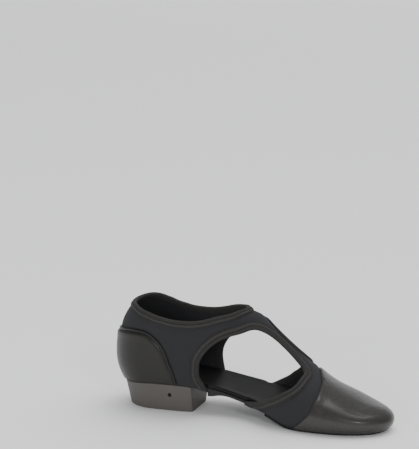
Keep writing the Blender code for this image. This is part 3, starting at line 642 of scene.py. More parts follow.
def leather(name, colour, grain, gloss, coat, specular, depth):
    """Grained leather. Grain is the size of a cell in metres."""
    material, tree, shader, place = start_material(name)
    warp = Wire.node(tree, "ShaderNodeTexNoise", output=1, Vector=place, Scale=0.4 / grain, Detail=2.0)
    bent = Wire.node(tree, "ShaderNodeVectorMath", {"operation": "MULTIPLY_ADD"}, s0=warp,
                     s1=(grain * 1.1,) * 3, s2=place)
    crease = Wire.node(tree, "ShaderNodeTexVoronoi", {"feature": "DISTANCE_TO_EDGE"}, Vector=bent,
                       Scale=1 / grain)
    cells = crease.ramp(0.0, PORE)
    slow = noise(tree, place, HIDE_CLOUD, 2.0)
    fine = noise(tree, place, 3.2 / grain, 2.0)
    height = cells * 0.8 + fine * 0.35 + slow * 0.4
    shade = (slow - 0.5) * 0.45 + (cells - 1) * 0.16 + (fine - 0.5) * 0.20 + 0.55
    finish_material(tree, shader, two_tone(tree, shade, colour, 0.55, 1.40),
                    gloss + (slow - 0.5) * 0.12 + (1 - cells) * 0.12, height, depth,
                    {"Coat Weight": coat, "Coat Roughness": COAT_ROUGHNESS,
                     "Specular IOR Level": specular})
    return material


# Columns: name, colour, grain, gloss, coat, specular, depth. Grain and depth are in metres.
HIDES = [
    ("toe_leather_black", (46, 44, 42), 0.00085, 0.27, 0.18, 0.45, 0.00004),
    ("counter_leather_black", (32, 31, 29), 0.00100, 0.34, 0.10, 0.30, 0.00004)]
toe_finish, counter_finish = (leather(*row) for row in HIDES)
print(toe_finish.name, counter_finish.name)

# %% [markdown]
# The tape is a narrow elastic band. Its ribs lie across it, so it bends round the openings without
# puckering. The looper thread over it is paler and warmer. The needle thread is nearly black. That is
# partly its own colour and partly painted shade for the groove beside the tape and for the counter's
# channel. The insole, the board, the outsole and the heel have plain finishes, each with its own grain.

# %% Tape, thread, and the finishes of the sole
PLAIN_CLOUD = 45.0        # patches a metre of the slow change of tone


def plain_finish(name, colour, roughness, patch, depth, speckle, specular):
    """Moulded or cut surface with a fine grain, speckled colour and slightly uneven gloss."""
    material, tree, shader, place = start_material(name)
    fine = noise(tree, place, 1 / patch, 3.0, 0.65)
    slow = noise(tree, place, PLAIN_CLOUD, 2.0)
    shade = (fine - 0.5) * speckle * 4 + (slow - 0.5) * 0.3 + 0.5
    finish_material(tree, shader, two_tone(tree, shade, colour, 0.70, 1.30),
                    roughness + (slow - 0.5) * 0.1, fine + slow * 0.5, depth,
                    {"Specular IOR Level": specular})
    return material


# Columns: name, colour, roughness, patch, depth, speckle, specular. Patch and depth are in metres.
PLAIN = [
    ("binding_thread", (74, 72, 70), 0.66, 0.0004, 0.00004, 0.12, 0.40),
    # the needle thread is nearly black: partly its own colour, partly painted shade for the groove it lies
    # in
    ("thread_dark_with_painted_shade", (16, 16, 17), 0.70, 0.0004, 0.00004, 0.12, 0.40),
    ("insole_edge_black", (20, 19, 20), 0.45, 0.0020, 0.00003, 0.12, 0.25),
    ("board_fibre", (34, 33, 33), 0.62, 0.0011, 0.00008, 0.12, 0.40),
    ("outsole_leather_black", (32, 31, 30), 0.72, 0.0006, 0.00012, 0.12, 0.40),
    ("heel_rubber_grey", (79, 76, 73), 0.56, 0.0009, 0.00005, 0.07, 0.40)]
tape_finish = knitted_cloth("binding_rib", TAPE_BLACK, TAPE_PITCH, 0.82, 0.20)
thread_finish, thread_dark_with_painted_shade, edge_finish, board_finish, outsole_finish, heel_finish = (
    plain_finish(*row) for row in PLAIN)
print("finishes", len(bpy.data.materials))

# %% [markdown]
# One half of a cloth or leather piece is cut here. The outline is walked point by point, extra lines
# such as the one beside a seam are laid in, and a constrained triangulation fills the rest with even
# points. Doing this in the flat keeps every cut edge exactly on its curve.

# %% Cutting a half piece
ROW_RISE = 0.866          # height of an even triangle, as a share of its side
CLEAR = 0.62              # how near a filling point may come to a drawn one, as a share of the spacing
SAME_POINT = 2e-6         # points nearer than this are one


def search_tree(points):
    """Tree that finds the nearest of some points."""
    tree = KDTree(len(points))
    for k, point in enumerate(points):
        tree.insert(point, k)
    tree.balance()
    return tree


def cut_half(pattern, outline, lines, spacing):
    """Points of loop and up, flat points and triangles that fill an outline."""
    border = np.vstack([part[:-1] for part in outline])
    edges = [(k, (k + 1) % len(border)) for k in range(len(border))]
    start = len(border)
    for line in lines:
        edges += [(start + k, start + k + 1) for k in range(len(line) - 1)]
        start += len(line)
    pairs = np.vstack([border] + lines)
    flat = pattern.flat(pairs[:, 0], pairs[:, 1])
    edge_flat = flat[:len(border)]
    low, high = edge_flat.min(axis=0), edge_flat.max(axis=0)
    across = np.arange(low[0], high[0], spacing)
    rows = np.arange(low[1], high[1], spacing * ROW_RISE)
    grid = np.array([(x + spacing * 0.5 * (k % 2), y) for k, y in enumerate(rows) for x in across])
    grid = grid[inside(grid, edge_flat)]
    near = search_tree([(x, y, 0.0) for x, y in flat])
    grid = np.array([g for g in grid if near.find((g[0], g[1], 0.0))[2] > spacing * CLEAR])
    if len(grid):
        pairs = np.vstack([pairs, pattern.back(grid)])
        flat = np.vstack([flat, grid])
    out = delaunay_2d_cdt([Vector(point) for point in flat.tolist()], edges, [], 0, 1e-7)
    flat_out = np.array([(v.x, v.y) for v in out[0]])
    pairs_out = pattern.back(flat_out)
    for k, origin in enumerate(out[3]):
        if origin:
            pairs_out[k] = pairs[origin[0]]
    triangles = np.array([f for f in out[2] if len(f) == 3])
    triangles = triangles[inside(flat_out[triangles].mean(axis=1), edge_flat)]
    if pattern.side > 0:
        triangles = triangles[:, ::-1]
    return pairs_out, flat_out, triangles


def join_halves(halves):
    """Join both halves and merge the points that they share on the centre lines.

    A triangle that both halves have lies flat on a centre line, and is left out of both.
    """
    points, loops, ups, flats, triangles = [], [], [], [], []
    for side, pairs, flat, tris in halves:
        known = search_tree(points)
        index = []
        for k, point in enumerate(patterns[side].solid(pairs)):
            found = known.find(point)
            if found[0] is not None and found[2] < SAME_POINT:
                index.append(found[1])
            else:
                index.append(len(points))
                points.append(point)
                loops.append(side * pairs[k, 0])
                ups.append(pairs[k, 1])
                flats.append(flat[k])
        for a, b, c in tris:
            a, b, c = index[a], index[b], index[c]
            if len({a, b, c}) == 3:
                triangles.append((a, b, c))
    corners = np.sort(triangles, axis=1)
    alone = np.unique(corners, axis=0, return_inverse=True, return_counts=True)
    triangles = np.array(triangles)[alone[2][alone[1].ravel()] == 1]
    return np.array(points), np.array(loops), np.array(ups), np.array(flats), triangles


def wall_between(base, ways, triangles, low, high):
    """Closed solid between two offsets of a sheet. Low and high are one value a point."""
    count = len(base)
    verts = np.vstack([base + ways * high[:, None], base + ways * low[:, None]])
    faces = [tuple(t) for t in triangles] + [(c + count, b + count, a + count) for a, b, c in triangles]
    directed = {(t[k], t[(k + 1) % 3]) for t in triangles.tolist() for k in range(3)}
    for a, b in sorted(directed):
        if (b, a) not in directed:
            faces.append((b, a, a + count, b + count))
    return verts, faces


def distances_to(points, line):
    """Distance of each point to a finely drawn line."""
    tree = search_tree(line)
    return np.array([tree.find(point)[2] for point in points])


def lay_uv(piece, flats):
    """Give a piece its flat pattern as a UV map in metres."""
    layer = piece.data.uv_layers.new(name="flat")
    corner = np.empty(len(piece.data.loops), int)
    piece.data.loops.foreach_get("vertex_index", corner)
    layer.data.foreach_set("uv", flats[corner].astype(np.float32).ravel())


# %% [markdown]
# The cut lines are drawn once for each side, finely, and shared by the cloth, the leather, the tape
# and the thread, so that they all agree.

# %% Drawing the cut lines
LINE_STEP = 0.0012
TAPE_WIDTH = {"collar": COLLAR_BINDING, "opening": BINDING_WIDTH}
drawn = {}
for side, pattern in patterns.items():
    drawn[side] = {"collar": pattern.line(COLLAR, LINE_STEP),
                   "opening": pattern.line(OPENING_LATERAL if side > 0 else OPENING_MEDIAL, LINE_STEP),
                   "cap": pattern.line(CAP_SEAM_LATERAL if side > 0 else CAP_SEAM_MEDIAL, LINE_STEP),
                   "counter": pattern.line(COUNTER_EDGE, LINE_STEP)}
    print("side", side, {key: len(line) for key, line in drawn[side].items()})


def solid_line(name):
    """A cut line in space, over both sides."""
    return np.vstack([patterns[side].solid(drawn[side][name]) for side in (-1, 1)])


# %% [markdown]
# The cloth upper is one hollow shell. Its outside swells very slightly away from the seams, where the
# foam is free, and sinks beside them, where a needle has pulled it down. The bend of the foot leaves
# a few shallow creases over the joints and at the front corners of the openings. They are listed one
# by one: each is a trough with a soft ridge beside it.

# %% The cloth upper
CLOTH_SPACING = 0.0022
SWELL = 0.00045           # how far free foam stands out
SINK = 0.00045            # how far a seam pulls it in
SEAM_REACH = 0.0045       # how far the pull of a seam is felt
SEAM_DENT = 0.0011        # half width of the dent beside a seam
TAPE_DENT = 0.0010        # half width of the dent beside a tape
SWELL_FROM, SWELL_FULL = 0.04, 0.12    # up shares over which the swelling begins
# Creases of the cloth. Station and up as in the cut lines, lengths in metres, depth negative for a ridge.
# Columns: side, station, up, length, width, angle, depth.
CREASES = [
    (-1, 0.655, 0.300, 0.0180, 0.0030, 58.0, 0.00055),
    (-1, 0.690, 0.380, 0.0150, 0.0026, 66.0, 0.00045),
    (-1, 0.615, 0.170, 0.0120, 0.0022, 38.0, 0.00040),
    (-1, 0.262, 0.300, 0.0220, 0.0040, 80.0, 0.00040),
    (-1, 0.300, 0.390, 0.0200, 0.0035, 20.0, 0.00035),
    (1, 0.625, 0.230, 0.0150, 0.0028, 55.0, 0.00050),
    (1, 0.660, 0.330, 0.0140, 0.0026, 64.0, 0.00045),
    (1, 0.300, 0.380, 0.0200, 0.0035, 20.0, 0.00035)]


def crease_depth(loops, ups, creases):
    """Sum of soft troughs, each with a low ridge beside it, in metres."""
    total = np.zeros(len(loops))
    for side, station, up, length, width, angle, depth in creases:
        pattern = patterns[side]
        centre = pattern.flat(np.array([loop_of(station)]), np.array([up]))[0]
        flat = pattern.flat(np.abs(loops), np.clip(ups, 0, 1))
        turn = np.radians(angle)
        along = (flat - centre) @ np.array([np.cos(turn), np.sin(turn)])
        beside = (flat - centre) @ np.array([-np.sin(turn), np.cos(turn)])
        fade = np.exp(-(along / length) ** 2 * 2)
        trough = np.exp(-(beside / width) ** 2) - 0.55 * np.exp(-((beside - 1.9 * width) / width) ** 2)
        total += np.where(loops * side > 0, depth * fade * trough, 0.0)
    return total


def upper_outline(pattern, marks, step):
    """Outline of half the cloth: back, collar, ridge, toe, margin, opening and margin again."""
    rear, front = marks["opening"][0, 0], marks["opening"][-1, 0]
    throat = marks["collar"][-1, 0]
    return [pattern.straight((0, -MARGIN), (0, 0), step),
            pattern.straight((0, 0), (0, marks["collar"][0, 1]), step),
            marks["collar"],
            pattern.straight((throat, 1), (1, 1), step),
            pattern.straight((1, 1), (1, 0), step),
            pattern.straight((1, 0), (1, -MARGIN), step),
            pattern.straight((1, -MARGIN), (front, -MARGIN), step),
            pattern.straight((front, -MARGIN), (front, 0), step),
            marks["opening"][::-1],
            pattern.straight((rear, 0), (rear, -MARGIN), step),
            pattern.straight((rear, -MARGIN), (0, -MARGIN), step)]


halves = []
for side, pattern in patterns.items():
    marks = drawn[side]
    rear, front = marks["opening"][0, 0], marks["opening"][-1, 0]
    lines = [marks["cap"][1:-1], marks["counter"][1:-1],
             pattern.straight((0, 0), (rear, 0), CLOTH_SPACING)[1:-1],
             pattern.straight((front, 0), (1, 0), CLOTH_SPACING)[1:-1]]
    for name, inward in (("cap", 1), ("counter", -1)):
        for width in (0.001, 0.002):
            lines.append(pattern.beside(marks[name], inward * width)[2:-2])
    outline = upper_outline(pattern, marks, CLOTH_SPACING)
    halves.append((side, *cut_half(pattern, outline, lines, CLOTH_SPACING)))
cloth_points, cloth_loops, cloth_ups, cloth_flats, cloth_triangles = join_halves(halves)
print("cloth", len(cloth_points), "points", len(cloth_triangles), "triangles")

# %% Thickness of the cloth
cloth_ways = outward(cloth_loops, cloth_ups)
to_seam = np.minimum(distances_to(cloth_points, solid_line("cap")),
                     distances_to(cloth_points, solid_line("counter")))
to_tape = np.minimum(distances_to(cloth_points, solid_line("collar")) - TAPE_WIDTH["collar"],
                     distances_to(cloth_points, solid_line("opening")) - TAPE_WIDTH["opening"])
free = 1 - np.exp(-(np.clip(np.minimum(to_seam, to_tape), 0, 1) / SEAM_REACH) ** 2)
pull = np.exp(-(to_seam / SEAM_DENT) ** 2) + np.exp(-(np.clip(to_tape, 0, 1) / TAPE_DENT) ** 2)
height = SWELL * free - SINK * np.clip(pull, 0, 1)
height = height - crease_depth(cloth_loops, cloth_ups, CREASES)
height = np.where(cloth_ups > SWELL_FROM, height, 0.0) * np.clip(cloth_ups / SWELL_FULL, 0, 1)
verts, faces = wall_between(cloth_points, cloth_ways, cloth_triangles, np.full(len(height), -WALL), height)
upper = make_piece("cloth_upper", verts, faces, cloth_finish, "upper")
lay_uv(upper, np.vstack([cloth_flats, cloth_flats]))

# %% [markdown]
# The toe cap and the heel counter are leather, laid over the cloth. A leather edge is never a sharp
# step: it is pared thin, turned, and rolls down into the seam. Beside the counter's edge runs a row
# of stitches in a channel, and the leather swells again inside it. Both come from one thickness that
# depends only on the distance to the edge.

# %% Leather over the cloth
LEATHER_SPACING = 0.0020
EDGE_LINES = (0.2, 0.5, 0.9, 1.4, 1.95, 2.5, 3.3, 4.4)    # lines beside an edge, in thicknesses of LEATHER
CHANNEL_AT = 1.95         # middle of the counter's channel, in thicknesses of LEATHER
LINE_CLEAR = 0.012        # how far those lines stay from the foot and the back, in loop and up
# Thickness of the leather against the distance from its edge, both as shares of LEATHER.
# Columns: distance, thickness.
CAP_EDGE = [
    (0.00, 0.18), (0.15, 0.52), (0.40, 0.84), (0.80, 1.00), (1.60, 1.10),
    (3.50, 1.12), (9.00, 1.05), (16.00, 1.00)]
COUNTER_LIP = [
    (0.00, 0.20), (0.18, 0.62), (0.50, 1.00), (1.00, 1.12), (1.50, 0.98),
    (1.95, 0.70), (2.40, 1.00), (3.20, 1.66), (4.40, 1.80), (7.00, 1.46),
    (11.00, 1.18), (18.00, 1.00)]


def edge_profile(table, distance):
    """Thickness in metres at a distance from the edge."""
    last = table[-1][0]
    return smooth_curve(table, 1)(np.clip(distance / LEATHER, 0, last)) * LEATHER


def leather_piece(name, ring, edge_name, inward, foot, table, creases, material, node):
    """Leather piece over the cloth, cut as two halves that meet on the centre lines."""
    parts = []
    for side, pattern in patterns.items():
        marks = drawn[side]
        edge = marks[edge_name]
        last = int(np.argmax(edge[:, 1] < foot)) if edge[-1, 1] < foot else len(edge)
        level = np.interp(foot, edge[last - 1:last + 1, 1][::-1], edge[last - 1:last + 1, 0][::-1])
        edge = np.vstack([edge[:last], [[level, foot]]])
        lines = [pattern.beside(marks[edge_name], inward * reach * LEATHER)[2:] for reach in EDGE_LINES]
        lines = [line[(line[:, 1] > foot + LINE_CLEAR) & (line[:, 1] < 0.99)
                      & (line[:, 0] > LINE_CLEAR)] for line in lines]
        parts.append((side, *cut_half(pattern, ring(pattern, edge, foot), lines, LEATHER_SPACING)))
    points, loops, ups, flats, triangles = join_halves(parts)
    rim = distances_to(points, solid_line(edge_name))
    top = edge_profile(table, rim) - crease_depth(loops, ups, creases)
    bottom = np.full(len(points), GAP * 0.2)
    verts, faces = wall_between(points, outward(loops, ups), triangles, bottom,
                                np.maximum(top, GAP * 0.5))
    piece = make_piece(name, verts, faces, material, node)
    lay_uv(piece, np.vstack([flats, flats]))


def cap_ring(pattern, edge, foot):
    """Outline of half the toe cap: its seam, the ridge, the toe and its foot."""
    return [edge[::-1], pattern.straight((edge[0, 0], 1), (1, 1), LEATHER_SPACING),
            pattern.straight((1, 1), (1, foot), LEATHER_SPACING),
            pattern.straight((1, foot), (edge[-1, 0], foot), LEATHER_SPACING)]


def counter_ring(pattern, edge, foot):
    """Outline of half the counter: the back of the heel, its upper edge and its foot."""
    return [pattern.straight((0, foot), (0, edge[0, 1]), LEATHER_SPACING), edge,
            pattern.straight((edge[-1, 0], foot), (0, foot), LEATHER_SPACING)]


# %% [markdown]
# The cap's own creases: the leather buckles a little where it meets the cloth on the inner side, and
# shows two faint troughs across the joints of the toes.

# %% Toe cap and heel counter
# Columns: side, station, up, length, width, angle, depth.
CAP_CREASES = [
    (-1, 0.812, 0.600, 0.0080, 0.0020, 80.0, 0.00030),
    (-1, 0.828, 0.640, 0.0070, 0.0018, 74.0, 0.00026),
    (-1, 0.800, 0.300, 0.0100, 0.0030, 70.0, 0.00028),
    (-1, 0.903, 0.585, 0.0060, 0.0016, 12.0, 0.00030),
    (-1, 0.926, 0.550, 0.0050, 0.0013, -20.0, 0.00026),
    (-1, 0.944, 0.520, 0.0045, 0.0012, 30.0, 0.00022),
    (1, 0.740, 0.520, 0.0100, 0.0026, 75.0, 0.00030)]
leather_piece("toe_cap_leather", cap_ring, "cap", 1.0, CAP_FOOT, CAP_EDGE, CAP_CREASES, toe_finish,
              "toe_cap")
leather_piece("heel_counter_leather", counter_ring, "counter", -1.0, COUNTER_FOOT, COUNTER_LIP, [],
              counter_finish, "heel_counter")

# %% [markdown]
# Each cut edge is bound with a folded tape. Its section is a U: it lies on the outside, rolls over the
# edge and grips the inside. Two rows of needle thread sink into it and the band between them stands
# up. The section is given once and carried along the edge, always square to the skin.

# %% Section of the tape
# Outer face of the tape. Reach is a share of its width from the cut edge, height a share of BINDING.
# Columns: reach, height.
TAPE_OUTSIDE = [
    (1.00, 0.10), (0.97, 0.26), (0.91, 0.30), (0.84, 0.34), (0.76, 0.72),
    (0.66, 0.96), (0.52, 1.00), (0.38, 0.96), (0.28, 0.72), (0.20, 0.40),
    (0.12, 0.72), (0.04, 0.96)]
TAPE_INSIDE = [
    (0.08, 0.90),
    (0.30, 0.70),
    (0.55, 0.70),
    (0.72, 0.66),
    (0.80, 0.40),
    (0.82, 0.10)]
ROLL = np.radians([70, 45, 20, 0, -20, -45, -70])
TAPE_SEAT = 0.05          # clearance of the tape from the cloth, as a share of BINDING
NEEDLE_ROWS = (0.88, 0.20)    # outer and inner row, as shares of the tape's width


def beside_edge(side, name, reach):
    """Skin points and outward directions at a reach from a cut edge of one side."""
    inward = -1.0 if name == "collar" else 1.0
    pattern = patterns[side]
    pairs = drawn[side][name].copy()
    if reach > 0:
        pairs = pattern.beside(pairs, inward * reach)
    if name == "collar":
        pairs[0, 0], pairs[-1, 1] = 0.0, 1.0
    loops, ups = side * pairs[:, 0], np.clip(pairs[:, 1], 0, 1)
    return skin(loops, ups), outward(loops, ups)


def rail(name, sides, reach):
    """The same over one side, or round both sides as a closed loop that starts at the heel."""
    if len(sides) == 1:
        return beside_edge(sides[0], name, reach)
    medial, lateral = (beside_edge(side, name, reach) for side in sides)
    joined = []
    for first, second in zip(medial, lateral):
        first, second = first.copy(), second[::-1].copy()
        first[0] = second[-1] = (first[0] + second[-1]) / 2
        first[-1] = second[0] = (first[-1] + second[0]) / 2
        joined.append(np.vstack([first, second[1:-1]]))
    return joined[0], unit(joined[1])


def tape(name, edge, sides, node):
    """Folded tape along a cut edge."""
    closed = len(sides) == 2
    edge_point, edge_out = rail(edge, sides, 0.0)
    wide = TAPE_WIDTH[edge]
    first_point, _ = rail(edge, sides, wide * 0.12)
    away = edge_point - first_point
    away = unit(away - (away * edge_out).sum(axis=1)[:, None] * edge_out)
    core = edge_point - edge_out * WALL / 2
    outer, inner, across = [], [], []
    for reach, height in TAPE_OUTSIDE:
        point, out = rail(edge, sides, wide * reach)
        outer.append(point + out * height * BINDING)
        inner.append(point + out * TAPE_SEAT * BINDING)
    for angle in ROLL:
        way = away * np.cos(angle) + edge_out * np.sin(angle)
        outer.append(core + way * (WALL / 2 + BINDING))
        inner.append(core + way * (WALL / 2 + TAPE_SEAT * BINDING))
    for reach, height in TAPE_INSIDE:
        point, out = rail(edge, sides, wide * reach)
        outer.append(point - out * (WALL + height * BINDING))
        inner.append(point - out * (WALL + TAPE_SEAT * BINDING))
    section = outer + inner[::-1]
    count, size = len(edge_point), len(section)
    verts = np.stack(section, 1).reshape(-1, 3)
    faces = tube_faces(count, size, closed)
    if not closed:
        faces += end_faces(count, size)
    piece = make_piece(name, verts, facing_out(verts, faces), tape_finish, node, 60.0)
    run, width = run_along(edge_point), run_along(verts[:size])
    lay_uv(piece, np.stack([np.repeat(run, size), np.tile(width, count)], -1))


EDGES = {"binding_collar": ("collar", (-1, 1)), "binding_medial": ("opening", (-1,)),
         "binding_lateral": ("opening", (1,))}
for node, (edge, sides) in EDGES.items():
    tape(node + "_tape", edge, sides, node)

# %% [markdown]
# Stitches are one short, slightly flattened bead of thread, repeated along a path. Geometry Nodes do
# that well: the path becomes a curve, it is divided at the stitch pitch, and a bead is set on each
# point, turned along the seam and flat on the cloth. The result is made real so that it exports.

# %% A tree that sews
def sewing_tree():
    """Geometry Nodes tree with named inputs that sets a bead of thread at every stitch."""
    tree = bpy.data.node_groups.new("sewing", "GeometryNodeTree")
    sockets = {"Path": "Geometry", "Pitch": "Float", "Stitch": "Float", "Thread": "Float",
               "Slant": "Float", "Finish": "Material"}
    for label, kind in sockets.items():
        tree.interface.new_socket(label, in_out="INPUT", socket_type="NodeSocket" + kind)
    tree.interface.new_socket("Seam", in_out="OUTPUT", socket_type="NodeSocketGeometry")
    start = tree.nodes.new("NodeGroupInput")
    path, pitch, stitch, thread, slant, material = (Wire(tree, start.outputs[label]) for label in sockets)
    curve = Wire.node(tree, "GeometryNodeMeshToCurve", s0=path)
    stops = Wire.node(tree, "GeometryNodeResampleCurve", {"mode": "LENGTH"}, Curve=curve, Length=pitch)
    ball = Wire.node(tree, "GeometryNodeMeshUVSphere", Segments=6, Rings=5, Radius=0.5)
    size = Wire.node(tree, "ShaderNodeCombineXYZ", s0=stitch, s1=thread, s2=thread)
    bead = Wire.node(tree, "GeometryNodeTransform", Geometry=ball, Scale=size)
    turned = {}
    for axis, pivot, attribute in (("X", "AUTO", "run"), ("Z", "X", "out")):
        way = Wire.node(tree, "GeometryNodeInputNamedAttribute", {"data_type": "FLOAT_VECTOR"},
                        Name=attribute)
        turned = {"Rotation": Wire.node(tree, "FunctionNodeAlignRotationToVector",
                                        {"axis": axis, "pivot_axis": pivot}, Vector=way, **turned)}
    index = Wire.node(tree, "GeometryNodeInputIndex")
    lean = (index.maths("MODULO", index, 2.0) - 0.5) * slant
    spin = Wire.node(tree, "FunctionNodeAxisAngleToRotation", Axis=(0, 0, 1), Angle=lean)
    both = Wire.node(tree, "FunctionNodeRotateRotation", {"rotation_space": "LOCAL"},
                     Rotate_By=spin, **turned)
    beads = Wire.node(tree, "GeometryNodeInstanceOnPoints", Points=stops, Instance=bead, Rotation=both)
    real = Wire.node(tree, "GeometryNodeRealizeInstances", s0=beads)
    seam = Wire.node(tree, "GeometryNodeSetMaterial", Geometry=real, Material=material)
    tree.links.new(seam.socket, tree.nodes.new("NodeGroupOutput").inputs[0])
    return tree


sewing = sewing_tree()


def evaluated_mesh(piece):
    """What the modifiers of a piece show, as a plain mesh."""
    return bpy.data.meshes.new_from_object(piece.evaluated_get(bpy.context.evaluated_depsgraph_get()))


def sew(name, paths, pitch, stitch, thread, slant, material):
    """Stitches along paths. A path is its points, run and out directions, and whether it is closed."""
    points, runs, outs, edges = [], [], [], []
    for path, run, out, closed in paths:
        start, count = len(points), len(path)
        points += (path - ORIGIN).tolist()
        runs += run.tolist()
        outs += out.tolist()
        edges += [(start + k, start + k + 1) for k in range(count - 1)]
        if closed:
            edges.append((start + count - 1, start))
    mesh = bpy.data.meshes.new(name + "_path")
    mesh.from_pydata(points, edges, [])
    for label, values in (("run", runs), ("out", outs)):
        mesh.attributes.new(label, "FLOAT_VECTOR", "POINT").data.foreach_set("vector", np.ravel(values))
    guide = place_object(name + "_path", mesh)
    stage = guide.modifiers.new("sewing", "NODES")
    stage.node_group = sewing
    given = {"Pitch": pitch, "Stitch": stitch, "Thread": thread, "Slant": slant, "Finish": material}
    for item in sewing.interface.items_tree:
        if item.in_out == "INPUT" and item.name in given:
            stage[item.identifier] = given[item.name]
    sewn = evaluated_mesh(guide)
    bpy.data.objects.remove(guide)
    sewn.name = name
    sewn.shade_smooth()
    enrol(place_object(name, sewn))


# %% [markdown]
# The tape is held by a cover stitch: two rows of needle thread, and between them a looper thread that
# runs to and fro and makes the pale ribbed band of the photograph. The counter has one row of plain
# stitches in its channel.

# %% Sewing the tapes and the counter
STITCH_PITCH = 0.0026
THREAD = 0.00042          # thickness of the thread
NEEDLE_LIFTS = (0.36, 0.50)    # height of each needle row, as shares of BINDING
LOOPER_PITCH = 0.0012
LOOPER_REACH = BINDING_WIDTH * 0.44    # how far one throw of the looper reaches across the tape
LOOPER_LIFT = 1.02        # its height, as a share of BINDING
LOOPER_SLANT = np.radians(40)    # angle between one throw and the next


def seam_path(edge, sides, reach, lift, across=False):
    """A path beside a cut edge with its run and out directions."""
    point, out = rail(edge, sides, reach)
    closed = len(sides) == 2
    if across:
        wider, _ = rail(edge, sides, reach + BINDING * 0.5)
        run = unit(wider - point)
    elif closed:
        run = unit(np.roll(point, -1, axis=0) - np.roll(point, 1, axis=0))
    else:
        run = unit(np.gradient(point, axis=0))
    return point + out * lift, run, out, closed


needle, looper, counter_rows = [], [], []
for edge, sides in EDGES.values():
    wide = TAPE_WIDTH[edge]
    for row, lift in zip(NEEDLE_ROWS, NEEDLE_LIFTS):
        needle.append(seam_path(edge, sides, wide * row, BINDING * lift))
    looper.append(seam_path(edge, sides, wide * sum(NEEDLE_ROWS) / 2, BINDING * LOOPER_LIFT, True))
for side, pattern in patterns.items():
    row = pattern.beside(drawn[side]["counter"], -CHANNEL_AT * LEATHER)
    row = row[(row[:, 1] > COUNTER_FOOT + 0.01) & (row[:, 0] > 0.004)]
    point, out = pattern.solid(row), outward(side * row[:, 0], row[:, 1])
    lift = edge_profile(COUNTER_LIP, np.full(1, CHANNEL_AT * LEATHER))[0] + THREAD * 0.2
    counter_rows.append((point + out * lift, unit(np.gradient(point, axis=0)), out, False))
# The near-black needle and counter thread paints the shade of the grooves that these rows lie in.
sew("tape_needle_stitches", needle, STITCH_PITCH, STITCH_PITCH * 0.88, THREAD, 0.0, thread_dark_with_painted_shade)
sew("tape_looper_stitches", looper, LOOPER_PITCH, LOOPER_REACH, THREAD, LOOPER_SLANT, thread_finish)
sew("counter_stitches", counter_rows, STITCH_PITCH, STITCH_PITCH * 0.82, THREAD, 0.0, thread_dark_with_painted_shade)

# %% [markdown]
# Under the foot lie three plates: the insole, the board that stiffens the arch, and the thin forefoot
# outsole. Each follows the same border as its solid. They are built as rings, one inside the other,
# so that their edges can be rounded the way a knife and a sanding wheel leave them.

# %% Plates under the foot
SOLE_STATIONS = (1 - np.cos(np.pi * np.linspace(0.03, 0.97, 150))) / 2
arch_rear, arch_front = OPENING_MEDIAL[0][0], OPENING_MEDIAL[-1][0]
ARCH_EASE = 0.006         # share of the length over which a plate widens at the ends of the arch
INSOLE_EDGE, PLATE_EDGE = 0.0007, 0.0005    # radius of the rounded border of the insole and of the others


def arch_inset(narrow, wide):
    """Inset that is small in the arch, where the plate shows, and larger under the wall."""
    def inset(station):
        inner = np.clip((station - arch_rear) / ARCH_EASE, 0, 1)
        inner *= np.clip((arch_front - station) / ARCH_EASE, 0, 1)
        return wide + (narrow - wide) * inner
    return inset


def border_rungs(stations, inset):
    """Medial and lateral border points of the sole at stations, drawn in by a function."""
    medial, lateral = [], []
    for station in stations:
        loop = float(loop_of(station))
        for side, out in ((-1, medial), (1, lateral)):
            foot = skin(side * loop, 0.0)
            inner = skin(side * loop, -MARGIN)
            way = (inner - foot)[:2] / np.linalg.norm((inner - foot)[:2])
            point = foot[:2] + way * inset(station)
            out.append((float(point[0]), float(point[1])))
    return medial, lateral


def sole_plate(name, stations, inset, bottom, top, edge, rings, material, node):
    """Plate with a rounded border. Rings are pairs of distance from the border and rise of the top."""
    corner = np.radians([0, 30, 60, 90])
    levels = [(edge * (1 - np.sin(a)), bottom, edge * (1 - np.cos(a))) for a in corner]
    levels += [(edge * (1 - np.sin(a)), top, -edge * (1 - np.cos(a))) for a in corner[::-1]]
    levels += [(reach, top, rise) for reach, rise in rings]
    loops = []
    for reach, surface, rise in levels:
        medial, lateral = border_rungs(stations, lambda s, reach=reach: inset(s) + reach)
        ring = np.array(medial + lateral[::-1])
        loops.append(np.column_stack([ring, surface(ring[:, 0]) + rise]))
    size = len(loops[0])
    verts = np.vstack(loops)
    faces = tube_faces(len(loops), size) + end_faces(len(loops), size)
    make_piece(name, verts, facing_out(verts, faces), material, node, 50.0)


insole_low = BOARD + GAP
INSOLE_CROWN = [(0.003, -0.0001), (0.006, -0.0004), (0.010, -0.0006)]    # its top dips inside the border
sole_plate("insole_bed", SOLE_STATIONS, arch_inset(ARCH_INSET, INSOLE_INSET),
           lambda x: seat_height(x) + insole_low, lambda x: seat_height(x) + insole_low + INSOLE,
           INSOLE_EDGE, INSOLE_CROWN, edge_finish, "insole")
sole_plate("sole_board_plate", SOLE_STATIONS, arch_inset(BOARD_INSET, MARGIN + BOARD_CLEAR),
           board_underside, lambda x: seat_height(x) + BOARD, PLATE_EDGE, [], board_finish,
           "sole_board")
forefoot = np.concatenate([np.linspace(STEP_AT, 0.91, 70), SOLE_STATIONS[SOLE_STATIONS > 0.912]])
sole_plate("forefoot_outsole_plate", forefoot, lambda s: -OUTSOLE_PROUD,
           lambda x: seat_height(x) - GAP - OUTSOLE, lambda x: seat_height(x) - GAP, PLATE_EDGE, [],
           outsole_finish, "forefoot_outsole")

# %% [markdown]
# The heel is one moulded block: the outline of the seat at its top, the same outline drawn smaller on
# the floor, and a plain front face. A bevel softens its edges, and a small round hole goes in from
# the inner side, where the block was held in its mould.

# %% Heel block
HOLE_AT = (0.0561, 0.0143)    # centre of the hole along the shoe and over the floor
HOLE = 0.0034                 # diameter of the hole
HOLE_DEPTH = 0.0050
HEEL_EDGE = 0.0006            # width of the bevel
HEEL_LEVELS = 9
CORNER_FROM, CORNER_IN = 0.90, 0.10    # where the ground outline draws in before the breast, and by how much


